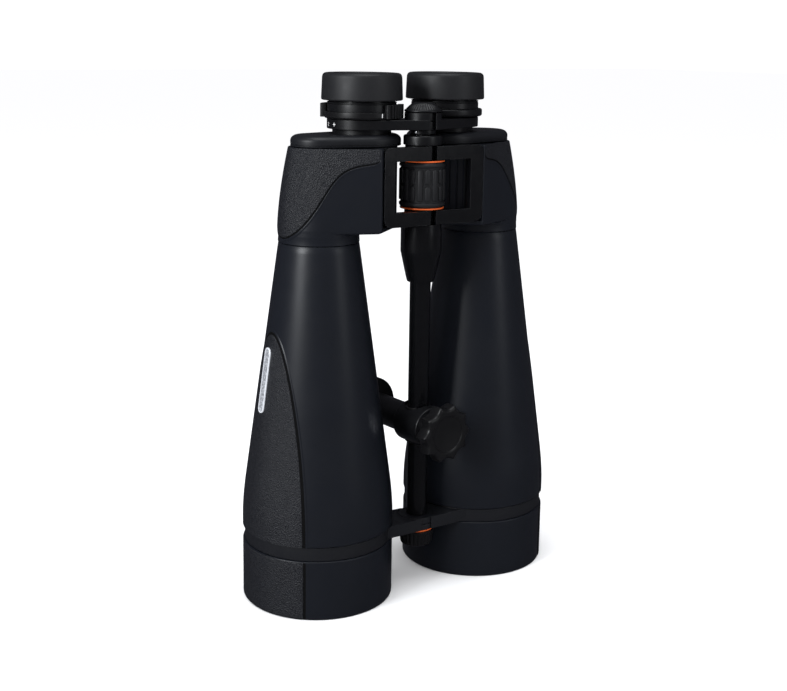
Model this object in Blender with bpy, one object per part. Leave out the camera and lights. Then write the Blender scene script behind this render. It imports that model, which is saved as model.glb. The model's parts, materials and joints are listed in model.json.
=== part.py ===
"""Giant Porro-prism astronomy binoculars, standing on their two objective hoods.

Units are metres, +Z up.  The optical axes are vertical.  The hinge line between the two halves is
vertical too, and it stands HINGE_Y behind the origin, which is the middle of the footprint.  -Y is the
upper side of the instrument in use, where the focus knob is reached.  "right" and "left" are the
user's, so the right half, with the dioptre ring, is at -X.  Below, plan points are measured from the
hinge line, and place() adds HINGE_Y at the end.
"""

from math import asin, atan2, cos, hypot, pi, radians, sin

import bmesh
import bpy
from mathutils import Matrix, Vector

# ---------------------------------------------------------------- driving dimensions

GAP = 0.0003                    # clearance between neighbouring pieces
SIDES = (("right", -1.0), ("left", 1.0))

BARREL_X, BARREL_Y = 0.0592, 0.0208     # objective axis from the hinge line
EYE_X, EYE_Y = 0.03015, 0.0204          # eyepiece axis from the hinge line

HOOD_R, HOOD_BORE_R, HOOD_TOP = 0.0462, 0.0434, 0.0363
BAND_R, BAND_BORE_R, BAND_Z0, BAND_Z1 = 0.0450, 0.0430, 0.0366, 0.0448
BARREL_Z0, BARREL_Z1 = 0.0451, 0.2191
BARREL_R, BARREL_NECK_R, BARREL_STRAIGHT_TOP, BARREL_CONE_BASE = 0.0460, 0.0242, 0.0520, 0.0770
BARREL_WALL = 0.0024
CONE_SLOPE = 0.1377             # radius lost per unit of height on the cone

CELL_R, CELL_BORE_R, CELL_Z0, CELL_Z1 = 0.0427, 0.0406, 0.0240, 0.0580
OBJECTIVE_R, OBJECTIVE_Z0, OBJECTIVE_Z1 = 0.0403, 0.0300, 0.0430

HOUSING_Z0, HOUSING_Z1, HOUSING_NECK_Z = 0.2258, 0.2749, 0.2194
HOUSING_TOP_R, HOUSING_LOW_R = 0.0177, 0.0242       # about the objective axis
HOUSING_EYE_R = 0.0214                              # about the eyepiece axis
HOUSING_WALL = 0.0024
FRONT_CORNER = (0.0370, -0.0104, 0.0020)            # x, y, radius of the corner beside the frame
FRAME_SEAT = (0.0303, -0.0033, 0.0032)              # the part behind the frame's upright

COVER_Z0, COVER_RIM_Z, COVER_Z1 = 0.2752, 0.2784, 0.2820
COVER_R, COVER_EYE_R, COVER_ROUNDING = 0.0168, 0.0235, 0.0046

SHELF_Z0, SHELF_Z1, SHELF_HOLE_R = 0.2474, 0.2494, 0.0072
PRISM_LENGTH, PRISM_WIDTH, PRISM_TIP = 0.0360, 0.0160, 0.0012

FRAME_W = {-1.0: 0.0347, 1.0: 0.0360}           # from the hinge line to the outer edge of each half
FRAME_WINDOW_W = {-1.0: 0.0276, 1.0: 0.0269}
FRAME_SLOT = 0.0020
FRAME_FRONT, FRAME_BACK = -0.0126, -0.0070
FRAME_Z0, FRAME_WINDOW_Z0, FRAME_WINDOW_Z1, FRAME_Z1 = 0.2289, 0.2372, 0.2674, 0.2754
FRAME_LOW_CORNER_R, FRAME_TOP_CORNER_R, FRAME_BOSS_R = 0.0062, 0.0042, 0.0105
EYE_R, EYE_CLEAR_R = 0.0086, 0.0091         # hinge eye, and the hollow for the other half's eye

AXLE_R, AXLE_BORE_R, AXLE_Z0, AXLE_Z1 = 0.0060, 0.0043, 0.2260, 0.2783
AXLE_HOLE_R = AXLE_R + GAP
AXLE_CAP_R, AXLE_CAP_Z0, AXLE_CAP_Z1 = 0.0116, 0.2757, 0.2815
NECK_R, NECK_POCKET_Z = 0.0077, 0.2786
SHAFT_R, SHAFT_Z0, SHAFT_NECK_Z0, SHAFT_NECK_Z1, SHAFT_Z1 = 0.0040, 0.2320, 0.2819, 0.2845, 0.2975
SHAFT_HOLE_R = SHAFT_R + GAP

KNOB_R, KNOB_CORE_R, KNOB_Z0, KNOB_Z1 = 0.0139, 0.0124, 0.2377, 0.2669
KNOB_RING_R, KNOB_RING_H = 0.0137, 0.0012

SHROUD_R, SHROUD_COLLAR_R, SHROUD_LOW_R = 0.0124, 0.0122, 0.0090
SHROUD_Z0, SHROUD_TAPER_Z0, SHROUD_TAPER_Z1, SHROUD_COLLAR_Z, SHROUD_Z1 = (
    0.1930, 0.1960, 0.2115, 0.2254, 0.2286)

ROD_R, ROD_Z0, ROD_Z1 = 0.0064, 0.0447, 0.2257
STUD_R, STUD_Z0 = 0.0043, 0.0285

ARM_Z0, ARM_Z1, HUB_Z1 = 0.2848, 0.2906, 0.2947
ARM_RING_R, HUB_R = 0.0208, 0.0113
HUB_SPLIT_Z = 0.2897
HUB_CAP_Z0, HUB_CAP_RIM_Z, HUB_CAP_Z1, HUB_CAP_TOP_R = 0.2950, 0.2962, 0.3006, 0.0050

TUBE_R, TUBE_BORE_R, TUBE_Z0, TUBE_Z1 = 0.0176, 0.0159, 0.2710, 0.2905
OCULAR_SHANK_R, OCULAR_BORE_R, OCULAR_LIP_R = 0.0155, 0.0132, 0.0120
OCULAR_R, OCULAR_BEAD_R, OCULAR_NECK_R = 0.0207, 0.0231, 0.0186
OCULAR_Z0, OCULAR_STEP_Z, OCULAR_Z1 = 0.2800, 0.3006, 0.3110
DIOPTRE_SHOULDER_Z, PLAIN_SHOULDER_Z = 0.2924, 0.2909
EYEPIECE_LENS_R = OCULAR_BORE_R - GAP

DIOPTRE_R, DIOPTRE_Z0, DIOPTRE_Z1 = 0.0224, 0.2909, 0.2950
TAB_R, TAB_TOP_Z, TAB_HALF_ANGLE = 0.0248, 0.2994, 27.0
TAB_ANGLES = (-57.0, 123.0)             # degrees about the right eyepiece axis

SLEEVE_R, SLEEVE_BORE_R, SLEEVE_Z0, SLEEVE_Z1 = 0.0200, 0.0189, 0.3022, 0.3120
CUP_LOW_R, CUP_TOP_R, CUP_BORE_R, CUP_MOUTH_R = 0.0243, 0.0236, 0.0203, 0.0172
CUP_Z0, CUP_Z1, CUP_ROUNDING, CUP_LIP_Z = 0.3015, 0.3175, 0.0030, 0.3132

BRIDGE_SPLIT_Z, BRIDGE_EYE_R, BRIDGE_CLEAR_R = 0.04035, 0.0113, 0.0118
BRIDGE_Z0, BRIDGE_Z1 = 0.0367, 0.0444
BRIDGE_REACH, BRIDGE_CORNER_R = 0.0240, 0.0090      # the arm's far end, inside the clamp band

LOCK_R, LOCK_LOW_R, LOCK_Z0, LOCK_Z1 = 0.0110, 0.0099, 0.0254, 0.0350
LOCK_RING_R, LOCK_RING_Z0, LOCK_RING_Z1 = 0.0106, 0.0353, 0.0364

CLAMP_Z, CLAMP_TURN = 0.1033, radians(4.0)
CLAMP_R, CLAMP_FRONT, CLAMP_BACK = 0.0127, -0.0140, 0.0093
POST_R, POST_END = 0.0093, 0.0470
FOOT_R, FOOT_FRONT, FOOT_BACK, THREAD_R, THREAD_DEPTH = 0.0180, 0.0473, 0.0528, 0.0032, 0.0045
BUSH_R, BUSH_HALF = 0.0080, 0.0110
SCREW_R, SCREW_TIP, SCREW_COLLAR_R = 0.0029, -0.0084, 0.0088
CLAMP_KNOB_R, CLAMP_KNOB_LOBE, CLAMP_KNOB_LOBES = 0.0166, 0.0013, 10
CLAMP_KNOB_BACK, CLAMP_KNOB_FRONT, CLAMP_KNOB_EDGE = -0.0200, -0.0296, 0.0010

BADGE_ANGLE, BADGE_Z, BADGE_LENGTH, BADGE_WIDTH, BADGE_RISE = radians(177.0), 0.1383, 0.0395, 0.0068, 0.0008

CLAMP_KNOB_FACE_R = CLAMP_KNOB_R + CLAMP_KNOB_LOBE - CLAMP_KNOB_EDGE
FRONT_Y = CLAMP_KNOB_FRONT * cos(CLAMP_TURN) - CLAMP_KNOB_FACE_R * sin(CLAMP_TURN)
BACK_Y = BARREL_Y + HOOD_R
HINGE_Y = -(FRONT_Y + BACK_Y) / 2

ROUND, MEDIUM, SMALL = 32, 24, 16       # facets round large, middling and small turned pieces


# ---------------------------------------------------------------- materials

def material(name, colour, roughness, metallic=0.0, transmission=0.0):
    """A Principled material, made once for each name."""
    mat = bpy.data.materials.get(name) or bpy.data.materials.new(name)
    mat.use_nodes = True
    shader = mat.node_tree.nodes["Principled BSDF"]
    shader.inputs["Base Color"].default_value = (*colour, 1.0)
    shader.inputs["Roughness"].default_value = roughness
    shader.inputs["Metallic"].default_value = metallic
    shader.inputs["Transmission Weight"].default_value = transmission
    return mat


def armour():
    return material("armour_rubber", (0.013, 0.013, 0.015), 0.55)


def grip_rubber():
    return material("grip_rubber", (0.017, 0.017, 0.019), 0.65)


def black_metal():
    return material("black_metal", (0.014, 0.014, 0.016), 0.35, 0.5)


def black_plastic():
    return material("black_plastic", (0.015, 0.015, 0.017), 0.45)


def orange_metal():
    return material("orange_metal", (0.78, 0.16, 0.03), 0.3, 0.7)


def bright_metal():
    return material("bright_metal", (0.72, 0.72, 0.74), 0.2, 1.0)


def glass():
    return material("glass", (0.80, 0.88, 0.86), 0.02, 0.0, 0.9)


def nylon():
    return material("nylon", (0.020, 0.020, 0.022), 0.5)


# ---------------------------------------------------------------- mesh helpers

def add_face(bm, corners):
    """Adds a face through the corners, dropping repeats, unless fewer than three are left."""
    unique = list(dict.fromkeys(corners))
    if len(unique) > 2:
        bm.faces.new(unique)


def outward(bm):
    """Turns every face outward."""
    bmesh.ops.recalc_face_normals(bm, faces=bm.faces)
    if bm.calc_volume(signed=True) < 0:
        bmesh.ops.reverse_faces(bm, faces=bm.faces)
    return bm


def turned(outline, centre=(0.0, 0.0), segments=MEDIUM):
    """Spins a closed outline of (radius, height) points about the vertical through centre."""
    bm = bmesh.new()
    angles = [2 * pi * i / segments for i in range(segments)]
    loops = []
    for radius, height in outline:
        if radius == 0.0:
            loops.append([bm.verts.new((*centre, height))] * segments)
        else:
            loops.append([bm.verts.new((centre[0] + radius * cos(a), centre[1] + radius * sin(a), height))
                          for a in angles])
    for lower, upper in zip(loops, loops[1:] + loops[:1]):
        for i in range(segments):
            j = (i + 1) % segments
            add_face(bm, (lower[i], lower[j], upper[j], upper[i]))
    return outward(bm)


def cylinder(radius, z0, z1, centre=(0.0, 0.0), segments=MEDIUM):
    return turned([(0.0, z0), (radius, z0), (radius, z1), (0.0, z1)], centre, segments)


def tube(radius, bore, z0, z1, centre=(0.0, 0.0), segments=MEDIUM):
    return turned([(bore, z0), (radius, z0), (radius, z1), (bore, z1)], centre, segments)


def box(low, high):
    bm = bmesh.new()
    bmesh.ops.create_cube(bm, size=1.0)
    size = Vector(high) - Vector(low)
    middle = (Vector(high) + Vector(low)) / 2
    for vert in bm.verts:
        vert.co = Vector((vert.co.x * size.x, vert.co.y * size.y, vert.co.z * size.z)) + middle
    return outward(bm)


def side_box(side, x0, x1, y0, y1, z0, z1):
    """A box whose x range is given on the +X side and mirrored for the other side."""
    xs = sorted((side * x0, side * x1))
    return box((xs[0], y0, z0), (xs[1], y1, z1))


def round_outline(circles, count=ROUND):
    """The convex outline round circles of (x, y, radius), as one point for each of count directions."""
    points = []
    for i in range(count):
        direction = Vector((cos(2 * pi * i / count), sin(2 * pi * i / count)))
        x, y, radius = max(circles, key=lambda c: c[0] * direction.x + c[1] * direction.y + c[2])
        points.append((x + radius * direction.x, y + radius * direction.y))
    return points


def section(circles, height, count=ROUND):
    return [(x, y, height) for x, y in round_outline(circles, count)]


def loft_walls(bm, sections):
    rings = [[bm.verts.new(point) for point in points] for points in sections]
    for lower, upper in zip(rings, rings[1:]):
        for i, vert in enumerate(lower):
            j = (i + 1) % len(lower)
            add_face(bm, (vert, lower[j], upper[j], upper[i]))
    return rings[0], rings[-1]


def loft(sections):
    """A solid through sections of equal point counts, capped at both ends."""
    bm = bmesh.new()
    for cap in loft_walls(bm, sections):
        bm.faces.new(cap)
    return outward(bm)


def shell(outer, inner):
    """A wall between two lofts, open at both ends."""
    bm = bmesh.new()
    for outside, inside in zip(loft_walls(bm, outer), loft_walls(bm, inner)):
        for i, vert in enumerate(outside):
            j = (i + 1) % len(outside)
            bm.faces.new((vert, outside[j], inside[j], inside[i]))
    return outward(bm)


def extruded(outline, axis, start, end):
    """Pushes a flat outline along Y ("y": points are x, z) or Z ("z": points are x, y)."""
    def point(a, b, c):
        return (a, c, b) if axis == "y" else (a, b, c)
    return loft([[point(a, b, c) for a, b in outline] for c in (start, end)])


def boolean(base, tool, operation="DIFFERENCE"):
    """Combines two bmeshes by an exact Boolean and frees them both."""
    pair = []
    for bm in (base, tool):
        mesh = bpy.data.meshes.new("operand")
        bm.to_mesh(mesh)
        bm.free()
        obj = bpy.data.objects.new("operand", mesh)
        bpy.context.scene.collection.objects.link(obj)
        pair.append(obj)
    modifier = pair[0].modifiers.new("boolean", "BOOLEAN")
    modifier.operation = operation
    modifier.solver = "EXACT"
    modifier.object = pair[1]
    evaluated = pair[0].evaluated_get(bpy.context.evaluated_depsgraph_get())
    mesh = bpy.data.meshes.new_from_object(evaluated)
    result = bmesh.new()
    result.from_mesh(mesh)
    for obj in pair:
        bpy.data.objects.remove(obj)
    bpy.data.meshes.remove(mesh)
    bmesh.ops.remove_doubles(result, verts=result.verts, dist=1e-7)
    return outward(result)


def cut(base, *tools):
    for tool in tools:
        base = boolean(base, tool, "DIFFERENCE")
    return base


def join(base, *tools):
    for tool in tools:
        base = boolean(base, tool, "UNION")
    return base


def empty(name, plan, height):
    """A guide on a joint's axis, which parents the pieces of one moving body."""
    guide = bpy.data.objects.new(name, None)
    guide.location = (plan[0], plan[1] + HINGE_Y, height)
    guide.empty_display_size = 0.01
    guide.hide_render = True
    bpy.context.scene.collection.objects.link(guide)
    return guide


def place(name, bm, mat, origin, parent=None, sharp=35.0):
    """Makes the node: its origin is at the plan point and height given, under its parent's empty."""
    bmesh.ops.translate(bm, verts=bm.verts, vec=-Vector(origin))
    mesh = bpy.data.meshes.new(name)
    bm.to_mesh(mesh)
    bm.free()
    mesh.shade_smooth()
    mesh.set_sharp_from_angle(angle=radians(sharp))
    mesh.materials.append(mat)
    obj = bpy.data.objects.new(name, mesh)
    world = Vector(origin) + Vector((0.0, HINGE_Y, 0.0))
    obj.parent = parent
    obj.location = world - (parent.location if parent else Vector())
    bpy.context.scene.collection.objects.link(obj)
    return obj


# ---------------------------------------------------------------- plan positions

def barrel_axis(side):
    return (side * BARREL_X, BARREL_Y)


def eye_axis(side):
    return (side * EYE_X, EYE_Y)


def fold_axis(side):
    """Where the light runs between the two prisms: the corner of a right-angled isosceles triangle."""
    ax, ay = barrel_axis(side)
    ex, ey = eye_axis(side)
    return ((ax + ex) / 2, (ay + ey) / 2 - hypot(ex - ax, ey - ay) / 2)


def circle(plan, radius):
    return (plan[0], plan[1], radius)


def sided(side, spot):
    return (side * spot[0], spot[1], spot[2])


# ---------------------------------------------------------------- objective end

def barrel_radius(z):
    """Outer radius of an objective barrel: a cone that eases into a short straight stretch."""
    cone = BARREL_NECK_R + CONE_SLOPE * (BARREL_Z1 - z)
    if z >= BARREL_CONE_BASE:
        return cone
    t = max(0.0, (z - BARREL_STRAIGHT_TOP) / (BARREL_CONE_BASE - BARREL_STRAIGHT_TOP))
    edge = BARREL_NECK_R + CONE_SLOPE * (BARREL_Z1 - BARREL_CONE_BASE)
    return BARREL_R - (BARREL_R - edge) * t ** 1.6


def make_hood(side, prefix, parent):
    outline = [(HOOD_BORE_R, 0.0), (HOOD_R - 0.0008, 0.0), (HOOD_R, 0.0010), (HOOD_R, HOOD_TOP - 0.0006),
               (HOOD_R - 0.0006, HOOD_TOP), (HOOD_BORE_R, HOOD_TOP)]
    axis = barrel_axis(side)
    place(prefix + "hood", turned(outline, axis, ROUND), armour(), (*axis, 0.0), parent)


def make_barrel(side, prefix, parent):
    stops = (BARREL_Z0, BARREL_STRAIGHT_TOP, 0.060, 0.068, BARREL_CONE_BASE, 0.140, BARREL_Z1)
    outer = [(barrel_radius(z), z) for z in stops]
    inner = [(min(barrel_radius(z) - BARREL_WALL, HOOD_BORE_R), z) for z in reversed(stops)]
    axis = barrel_axis(side)
    shape = turned(outer + inner, axis, ROUND)
    place(prefix + "objective_barrel", shape, armour(), (*axis, BARREL_Z0), parent)


def make_badge(side, prefix, parent):
    """A pill-shaped plate that lies on the cone, on the outer side of the barrel."""
    angle = BADGE_ANGLE if side < 0 else pi - BADGE_ANGLE
    lean = atan2(CONE_SLOPE, 1.0)
    half = BADGE_WIDTH / 2
    reach = BADGE_LENGTH / 2 - half
    outline = round_outline([(0.0, reach, half), (0.0, -reach, half)], 28)
    out_z = Vector((cos(angle) * cos(lean), sin(angle) * cos(lean), sin(lean)))
    up = Vector((-cos(angle) * sin(lean), -sin(angle) * sin(lean), cos(lean)))
    across = up.cross(out_z)
    axis = barrel_axis(side)
    base = Vector((*axis, BADGE_Z)) + Vector((cos(angle), sin(angle), 0)) * barrel_radius(BADGE_Z)
    radius = barrel_radius(BADGE_Z)
    layers = []
    for level in (GAP, GAP + BADGE_RISE):
        layers.append([])
        for u, v in outline:
            drop = radius - (radius ** 2 - u ** 2) ** 0.5
            layers[-1].append(base + across * u + up * v + out_z * (level - drop))
    bm = loft(layers)
    place(prefix + "badge", bm, bright_metal(), tuple(base), parent)


def make_bridge_ring(side, prefix, parent):
    """The clamp band round the barrel and its arm, which ends in one eye on the hinge line."""
    axis = barrel_axis(side)
    offset = BRIDGE_EYE_R - BRIDGE_CORNER_R
    arm = [(0.0, 0.0, BRIDGE_EYE_R)]
    arm += [(side * BRIDGE_REACH, y, BRIDGE_CORNER_R) for y in (-offset, offset)]
    body = join(cylinder(BAND_R, BAND_Z0, BAND_Z1, axis, ROUND),
                loft([section(arm, BRIDGE_Z0), section(arm, BRIDGE_Z1)]))
    if side > 0:
        other = (BAND_Z0 - 0.002, BRIDGE_SPLIT_Z + GAP / 2)
    else:
        other = (BRIDGE_SPLIT_Z - GAP / 2, BAND_Z1 + 0.002)
    body = cut(body, cylinder(BAND_BORE_R, 0.03, 0.05, axis, ROUND), cylinder(BRIDGE_CLEAR_R, *other),
               cylinder(STUD_R + GAP, 0.03, 0.05, (0.0, 0.0), SMALL))
    place(prefix + "bridge_ring", body, black_metal(), (0.0, 0.0, BAND_Z0), parent)


def make_objective(side, prefix, parent):
    axis = barrel_axis(side)
    lip = CELL_BORE_R - 0.0018
    cell = [(CELL_BORE_R, CELL_Z0), (CELL_R, CELL_Z0), (CELL_R, CELL_Z1), (lip, CELL_Z1),
            (lip, OBJECTIVE_Z1 + GAP), (CELL_BORE_R, OBJECTIVE_Z1 + GAP)]
    place(prefix + "objective_cell", turned(cell, axis, ROUND), black_metal(), (*axis, CELL_Z0), parent)
    crown = 0.0032
    lens = [(0.0, OBJECTIVE_Z0), (0.6 * OBJECTIVE_R, OBJECTIVE_Z0 + 0.36 * crown),
            (OBJECTIVE_R, OBJECTIVE_Z0 + crown), (OBJECTIVE_R, OBJECTIVE_Z1),
            (0.9 * lip, OBJECTIVE_Z1), (0.0, OBJECTIVE_Z1 - 0.0010)]
    place(prefix + "objective_lens", turned(lens, axis, ROUND), glass(), (*axis, OBJECTIVE_Z0), parent)
    ring_top = OBJECTIVE_Z0 + crown - GAP
    ring = tube(CELL_BORE_R - GAP, CELL_BORE_R - 0.0014, ring_top - 0.0030, ring_top, axis, ROUND)
    place(prefix + "retaining_ring", ring, black_metal(), (*axis, ring_top), parent)


# ---------------------------------------------------------------- prism end

def housing_radius(z):
    """Radius of the housing about the objective axis, which flares towards the barrel."""
    t = min(1.0, max(0.0, (HOUSING_Z1 - z) / (HOUSING_Z1 - HOUSING_Z0)))
    return HOUSING_TOP_R + (HOUSING_LOW_R - HOUSING_TOP_R) * (1 - (1 - t) ** 1.6)


def make_prism_housing(side, prefix, parent):
    axis, eye, fold = barrel_axis(side), eye_axis(side), fold_axis(side)
    edge = 0.0012
    outer = []
    for z in (HOUSING_Z1, 0.266, 0.255, 0.244, 0.234, HOUSING_Z0 + edge, HOUSING_Z0):
        inset = edge if z == HOUSING_Z0 else 0.0
        circles = [circle(axis, housing_radius(z)), circle(eye, HOUSING_EYE_R - inset)]
        for spot in (FRONT_CORNER, FRAME_SEAT):
            x, y, radius = sided(side, spot)
            circles.append((x, y, radius - inset))
        outer.append(section(circles, z))
    neck = HOUSING_LOW_R - 0.0004
    outer.append(section([circle(axis, neck)], HOUSING_Z0))
    outer.append(section([circle(axis, BARREL_NECK_R)], HOUSING_NECK_Z))
    floor = HOUSING_Z0 + HOUSING_WALL
    inner = []
    for z in (HOUSING_Z1, 0.262, 0.246, floor):
        inner.append(section([circle(axis, housing_radius(z) - HOUSING_WALL), circle(fold, 0.0115),
                              circle(eye, HOUSING_EYE_R - HOUSING_WALL)], z))
    bore = BARREL_NECK_R - HOUSING_WALL
    inner += [section([circle(axis, bore - 0.0002)], floor), section([circle(axis, bore)], HOUSING_NECK_Z)]
    seat = side_box(side, FRAME_W[side] + GAP, -0.010, -0.030, FRAME_BACK + GAP, FRAME_Z0 - GAP, 0.290)
    body = cut(shell(outer, inner), seat)
    place(prefix + "prism_housing", body, armour(), (*axis, HOUSING_NECK_Z), parent)


def make_prism_cover(side, prefix, parent):
    axis, eye = barrel_axis(side), eye_axis(side)
    levels = [(COVER_Z0, 0.0)]
    for angle in (0.0, radians(38.0), radians(90.0)):
        height = (COVER_Z1 - COVER_RIM_Z) * sin(angle)
        levels.append((COVER_RIM_Z + height, COVER_ROUNDING * (1 - cos(angle))))
    body = loft([section([circle(axis, COVER_R - inset), circle(eye, COVER_EYE_R - inset)], z)
                 for z, inset in levels])
    body = cut(body, cylinder(TUBE_R + GAP, COVER_Z0 - 0.005, COVER_Z1 + 0.005, eye, MEDIUM))
    place(prefix + "prism_cover", body, black_metal(), (*eye, COVER_Z0), parent)


def make_prism(start, end, face_z, height_sign):
    """A right-angle prism whose long face lies at face_z, over the line from start to end."""
    direction = Vector((end[0] - start[0], end[1] - start[1])).normalized()
    across = Vector((-direction.y, direction.x))
    middle = Vector(((start[0] + end[0]) / 2, (start[1] + end[1]) / 2))
    half = PRISM_LENGTH / 2
    profile = [(-half, 0.0), (half, 0.0), (half, PRISM_TIP), (PRISM_TIP, half), (-PRISM_TIP, half),
               (-half, PRISM_TIP)]
    layers = []
    for offset in (-PRISM_WIDTH / 2, PRISM_WIDTH / 2):
        layers.append([])
        for along, height in profile:
            plan = middle + direction * along + across * offset
            layers[-1].append((plan.x, plan.y, face_z + height_sign * height))
    return loft(layers)


def make_prisms(side, prefix, parent):
    axis, eye, fold = barrel_axis(side), eye_axis(side), fold_axis(side)
    margin = HOUSING_WALL + 0.0006
    circles = [circle(axis, housing_radius(SHELF_Z1) - margin), circle(fold, 0.0109),
               circle(eye, HOUSING_EYE_R - margin)]
    shelf = cut(loft([section(circles, SHELF_Z0, MEDIUM), section(circles, SHELF_Z1, MEDIUM)]),
                *[cylinder(SHELF_HOLE_R, SHELF_Z0 - 0.003, SHELF_Z1 + 0.003, spot, SMALL)
                  for spot in (axis, fold, eye)])
    place(prefix + "prism_shelf", shelf, black_metal(), (*axis, SHELF_Z0), parent)
    upper = make_prism(axis, fold, SHELF_Z1 + GAP, 1.0)
    place(prefix + "prism_upper", upper, glass(), (*fold, SHELF_Z1), parent)
    lower = make_prism(fold, eye, SHELF_Z0 - GAP, -1.0)
    place(prefix + "prism_lower", lower, glass(), (*fold, SHELF_Z0), parent)


def frame_outline(side):
    """Front view of half of the body bridge: an upright with an arm above and one below the window."""
    low, top = FRAME_LOW_CORNER_R, FRAME_TOP_CORNER_R
    window = FRAME_WINDOW_W[side]
    points = [(FRAME_SLOT, FRAME_Z0)]
    for r, centre_z, start in ((low, FRAME_Z0 + low, -90.0), (top, FRAME_Z1 - top, 0.0)):
        for step in range(5):
            angle = radians(start + 22.5 * step)
            points.append((FRAME_W[side] - r + r * cos(angle), centre_z + r * sin(angle)))
    points += [(FRAME_SLOT, FRAME_Z1), (FRAME_SLOT, FRAME_WINDOW_Z1), (window, FRAME_WINDOW_Z1),
               (window, FRAME_WINDOW_Z0), (FRAME_SLOT, FRAME_WINDOW_Z0)]
    return [(side * x, z) for x, z in points]


def hinge_halves(z0, z1, side):
    """Heights of this half's eye and of the other half's eye between z0 and z1: the right eye is below."""
    middle = (z0 + z1) / 2
    low, high = (z0, middle - GAP / 2), (middle + GAP / 2, z1)
    return (low, high) if side < 0 else (high, low)


def make_bridge_frame(side, prefix, parent):
    body = extruded(frame_outline(side), "y", FRAME_FRONT, FRAME_BACK)
    far = 0.030
    for z0, z1 in ((FRAME_Z0, FRAME_WINDOW_Z0), (FRAME_WINDOW_Z1, FRAME_Z1)):
        own, other = hinge_halves(z0, z1, side)
        boss = cut(cylinder(FRAME_BOSS_R, z0, z1),
                   side_box(side, FRAME_SLOT, -far, -far, far, z0 - 0.001, z1 + 0.001))
        body = join(body, boss)
        body = cut(body, cylinder(EYE_CLEAR_R, other[0] - (0.001 if other[0] == z0 else GAP),
                                  other[1] + (0.001 if other[1] == z1 else GAP)))
        body = join(body, cylinder(EYE_R, *own))
    body = cut(body, cylinder(AXLE_HOLE_R, FRAME_Z0 - 0.002, FRAME_Z1 + 0.002, (0.0, 0.0), SMALL))
    place(prefix + "bridge_frame", body, black_metal(), (0.0, 0.0, FRAME_Z0), parent)


# ---------------------------------------------------------------- eyepiece end

def make_eyepiece_arm(side, prefix, parent):
    eye = eye_axis(side)
    circles = [circle(eye, ARM_RING_R), (0.0, 0.0, HUB_R)]
    far = 0.040
    body = join(loft([section(circles, ARM_Z0), section(circles, ARM_Z1)]), cylinder(HUB_R, ARM_Z0, HUB_Z1))
    body = cut(body, side_box(side, FRAME_SLOT, -far, -far, far, ARM_Z0 - 0.001, HUB_Z1 + 0.001))
    low, high = (ARM_Z0, HUB_SPLIT_Z - GAP / 2), (HUB_SPLIT_Z + GAP / 2, HUB_Z1)
    own, other = (low, high) if side < 0 else (high, low)
    clear = (other[0] - GAP, other[1] + 0.001) if side < 0 else (other[0] - 0.001, other[1] + GAP)
    body = join(cut(body, cylinder(EYE_CLEAR_R, *clear)), cylinder(EYE_R, *own))
    body = cut(body, cylinder(SHAFT_HOLE_R, ARM_Z0 - 0.002, HUB_Z1 + 0.002, (0.0, 0.0), SMALL),
               cylinder(TUBE_R + GAP, ARM_Z0 - 0.002, HUB_Z1 + 0.002, eye, MEDIUM))
    place(prefix + "eyepiece_arm", body, black_metal(), (*eye, ARM_Z0), parent)
    place(prefix + "eyepiece_tube", tube(TUBE_R, TUBE_BORE_R, TUBE_Z0, TUBE_Z1, eye), black_metal(),
          (*eye, TUBE_Z0), parent)


def make_ocular(side, prefix, parent):
    eye = eye_axis(side)
    shoulder = DIOPTRE_SHOULDER_Z if side < 0 else PLAIN_SHOULDER_Z
    outline = [(OCULAR_BORE_R, OCULAR_Z0), (OCULAR_SHANK_R, OCULAR_Z0), (OCULAR_SHANK_R, shoulder)]
    if side > 0:
        outline += [(OCULAR_R, shoulder), (OCULAR_BEAD_R, shoulder + 0.0014),
                    (OCULAR_BEAD_R, shoulder + 0.0034), (OCULAR_R, shoulder + 0.0048)]
    else:
        outline += [(OCULAR_R, shoulder)]
    lens_seat = 0.3030
    outline += [(OCULAR_R, OCULAR_STEP_Z), (OCULAR_NECK_R, OCULAR_STEP_Z), (OCULAR_NECK_R, OCULAR_Z1),
                (OCULAR_BORE_R, OCULAR_Z1), (OCULAR_BORE_R, lens_seat + 0.0010),
                (OCULAR_LIP_R, lens_seat + 0.0010), (OCULAR_LIP_R, lens_seat), (OCULAR_BORE_R, lens_seat)]
    place(prefix + "ocular_housing", turned(outline, eye), black_metal(), (*eye, OCULAR_Z0), parent)
    r = EYEPIECE_LENS_R
    field = [(0.0, 0.2820), (0.6 * r, 0.2825), (r, 0.2836), (r, 0.2860), (0.0, 0.2860)]
    place(prefix + "field_lens", turned(field, eye, SMALL), glass(), (*eye, 0.2820), parent)
    top = 0.3098
    eye_lens = [(0.0, 0.3044), (r, 0.3044), (r, top - 0.0026), (0.6 * r, top - 0.0008), (0.0, top)]
    place(prefix + "eye_lens", turned(eye_lens, eye, SMALL), glass(), (*eye, 0.3044), parent)


def make_dioptre_ring(parent):
    """A ring on the right eyepiece, with two upstanding thumb tabs."""
    eye = eye_axis(-1.0)
    bore = OCULAR_R + GAP
    body = tube(DIOPTRE_R, bore, DIOPTRE_Z0, DIOPTRE_Z1, eye)
    for middle in TAB_ANGLES:
        angles = [radians(middle + TAB_HALF_ANGLE * k / 4) for k in range(-4, 5)]
        arc = [(eye[0] + TAB_R * cos(a), eye[1] + TAB_R * sin(a)) for a in angles]
        back = [(eye[0] + (bore + GAP) * cos(a), eye[1] + (bore + GAP) * sin(a)) for a in reversed(angles)]
        body = join(body, extruded(arc + back, "z", DIOPTRE_Z0 + 0.0004, TAB_TOP_Z))
    place("dioptre_ring", body, black_plastic(), (*eye, DIOPTRE_Z0), parent)


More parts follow.
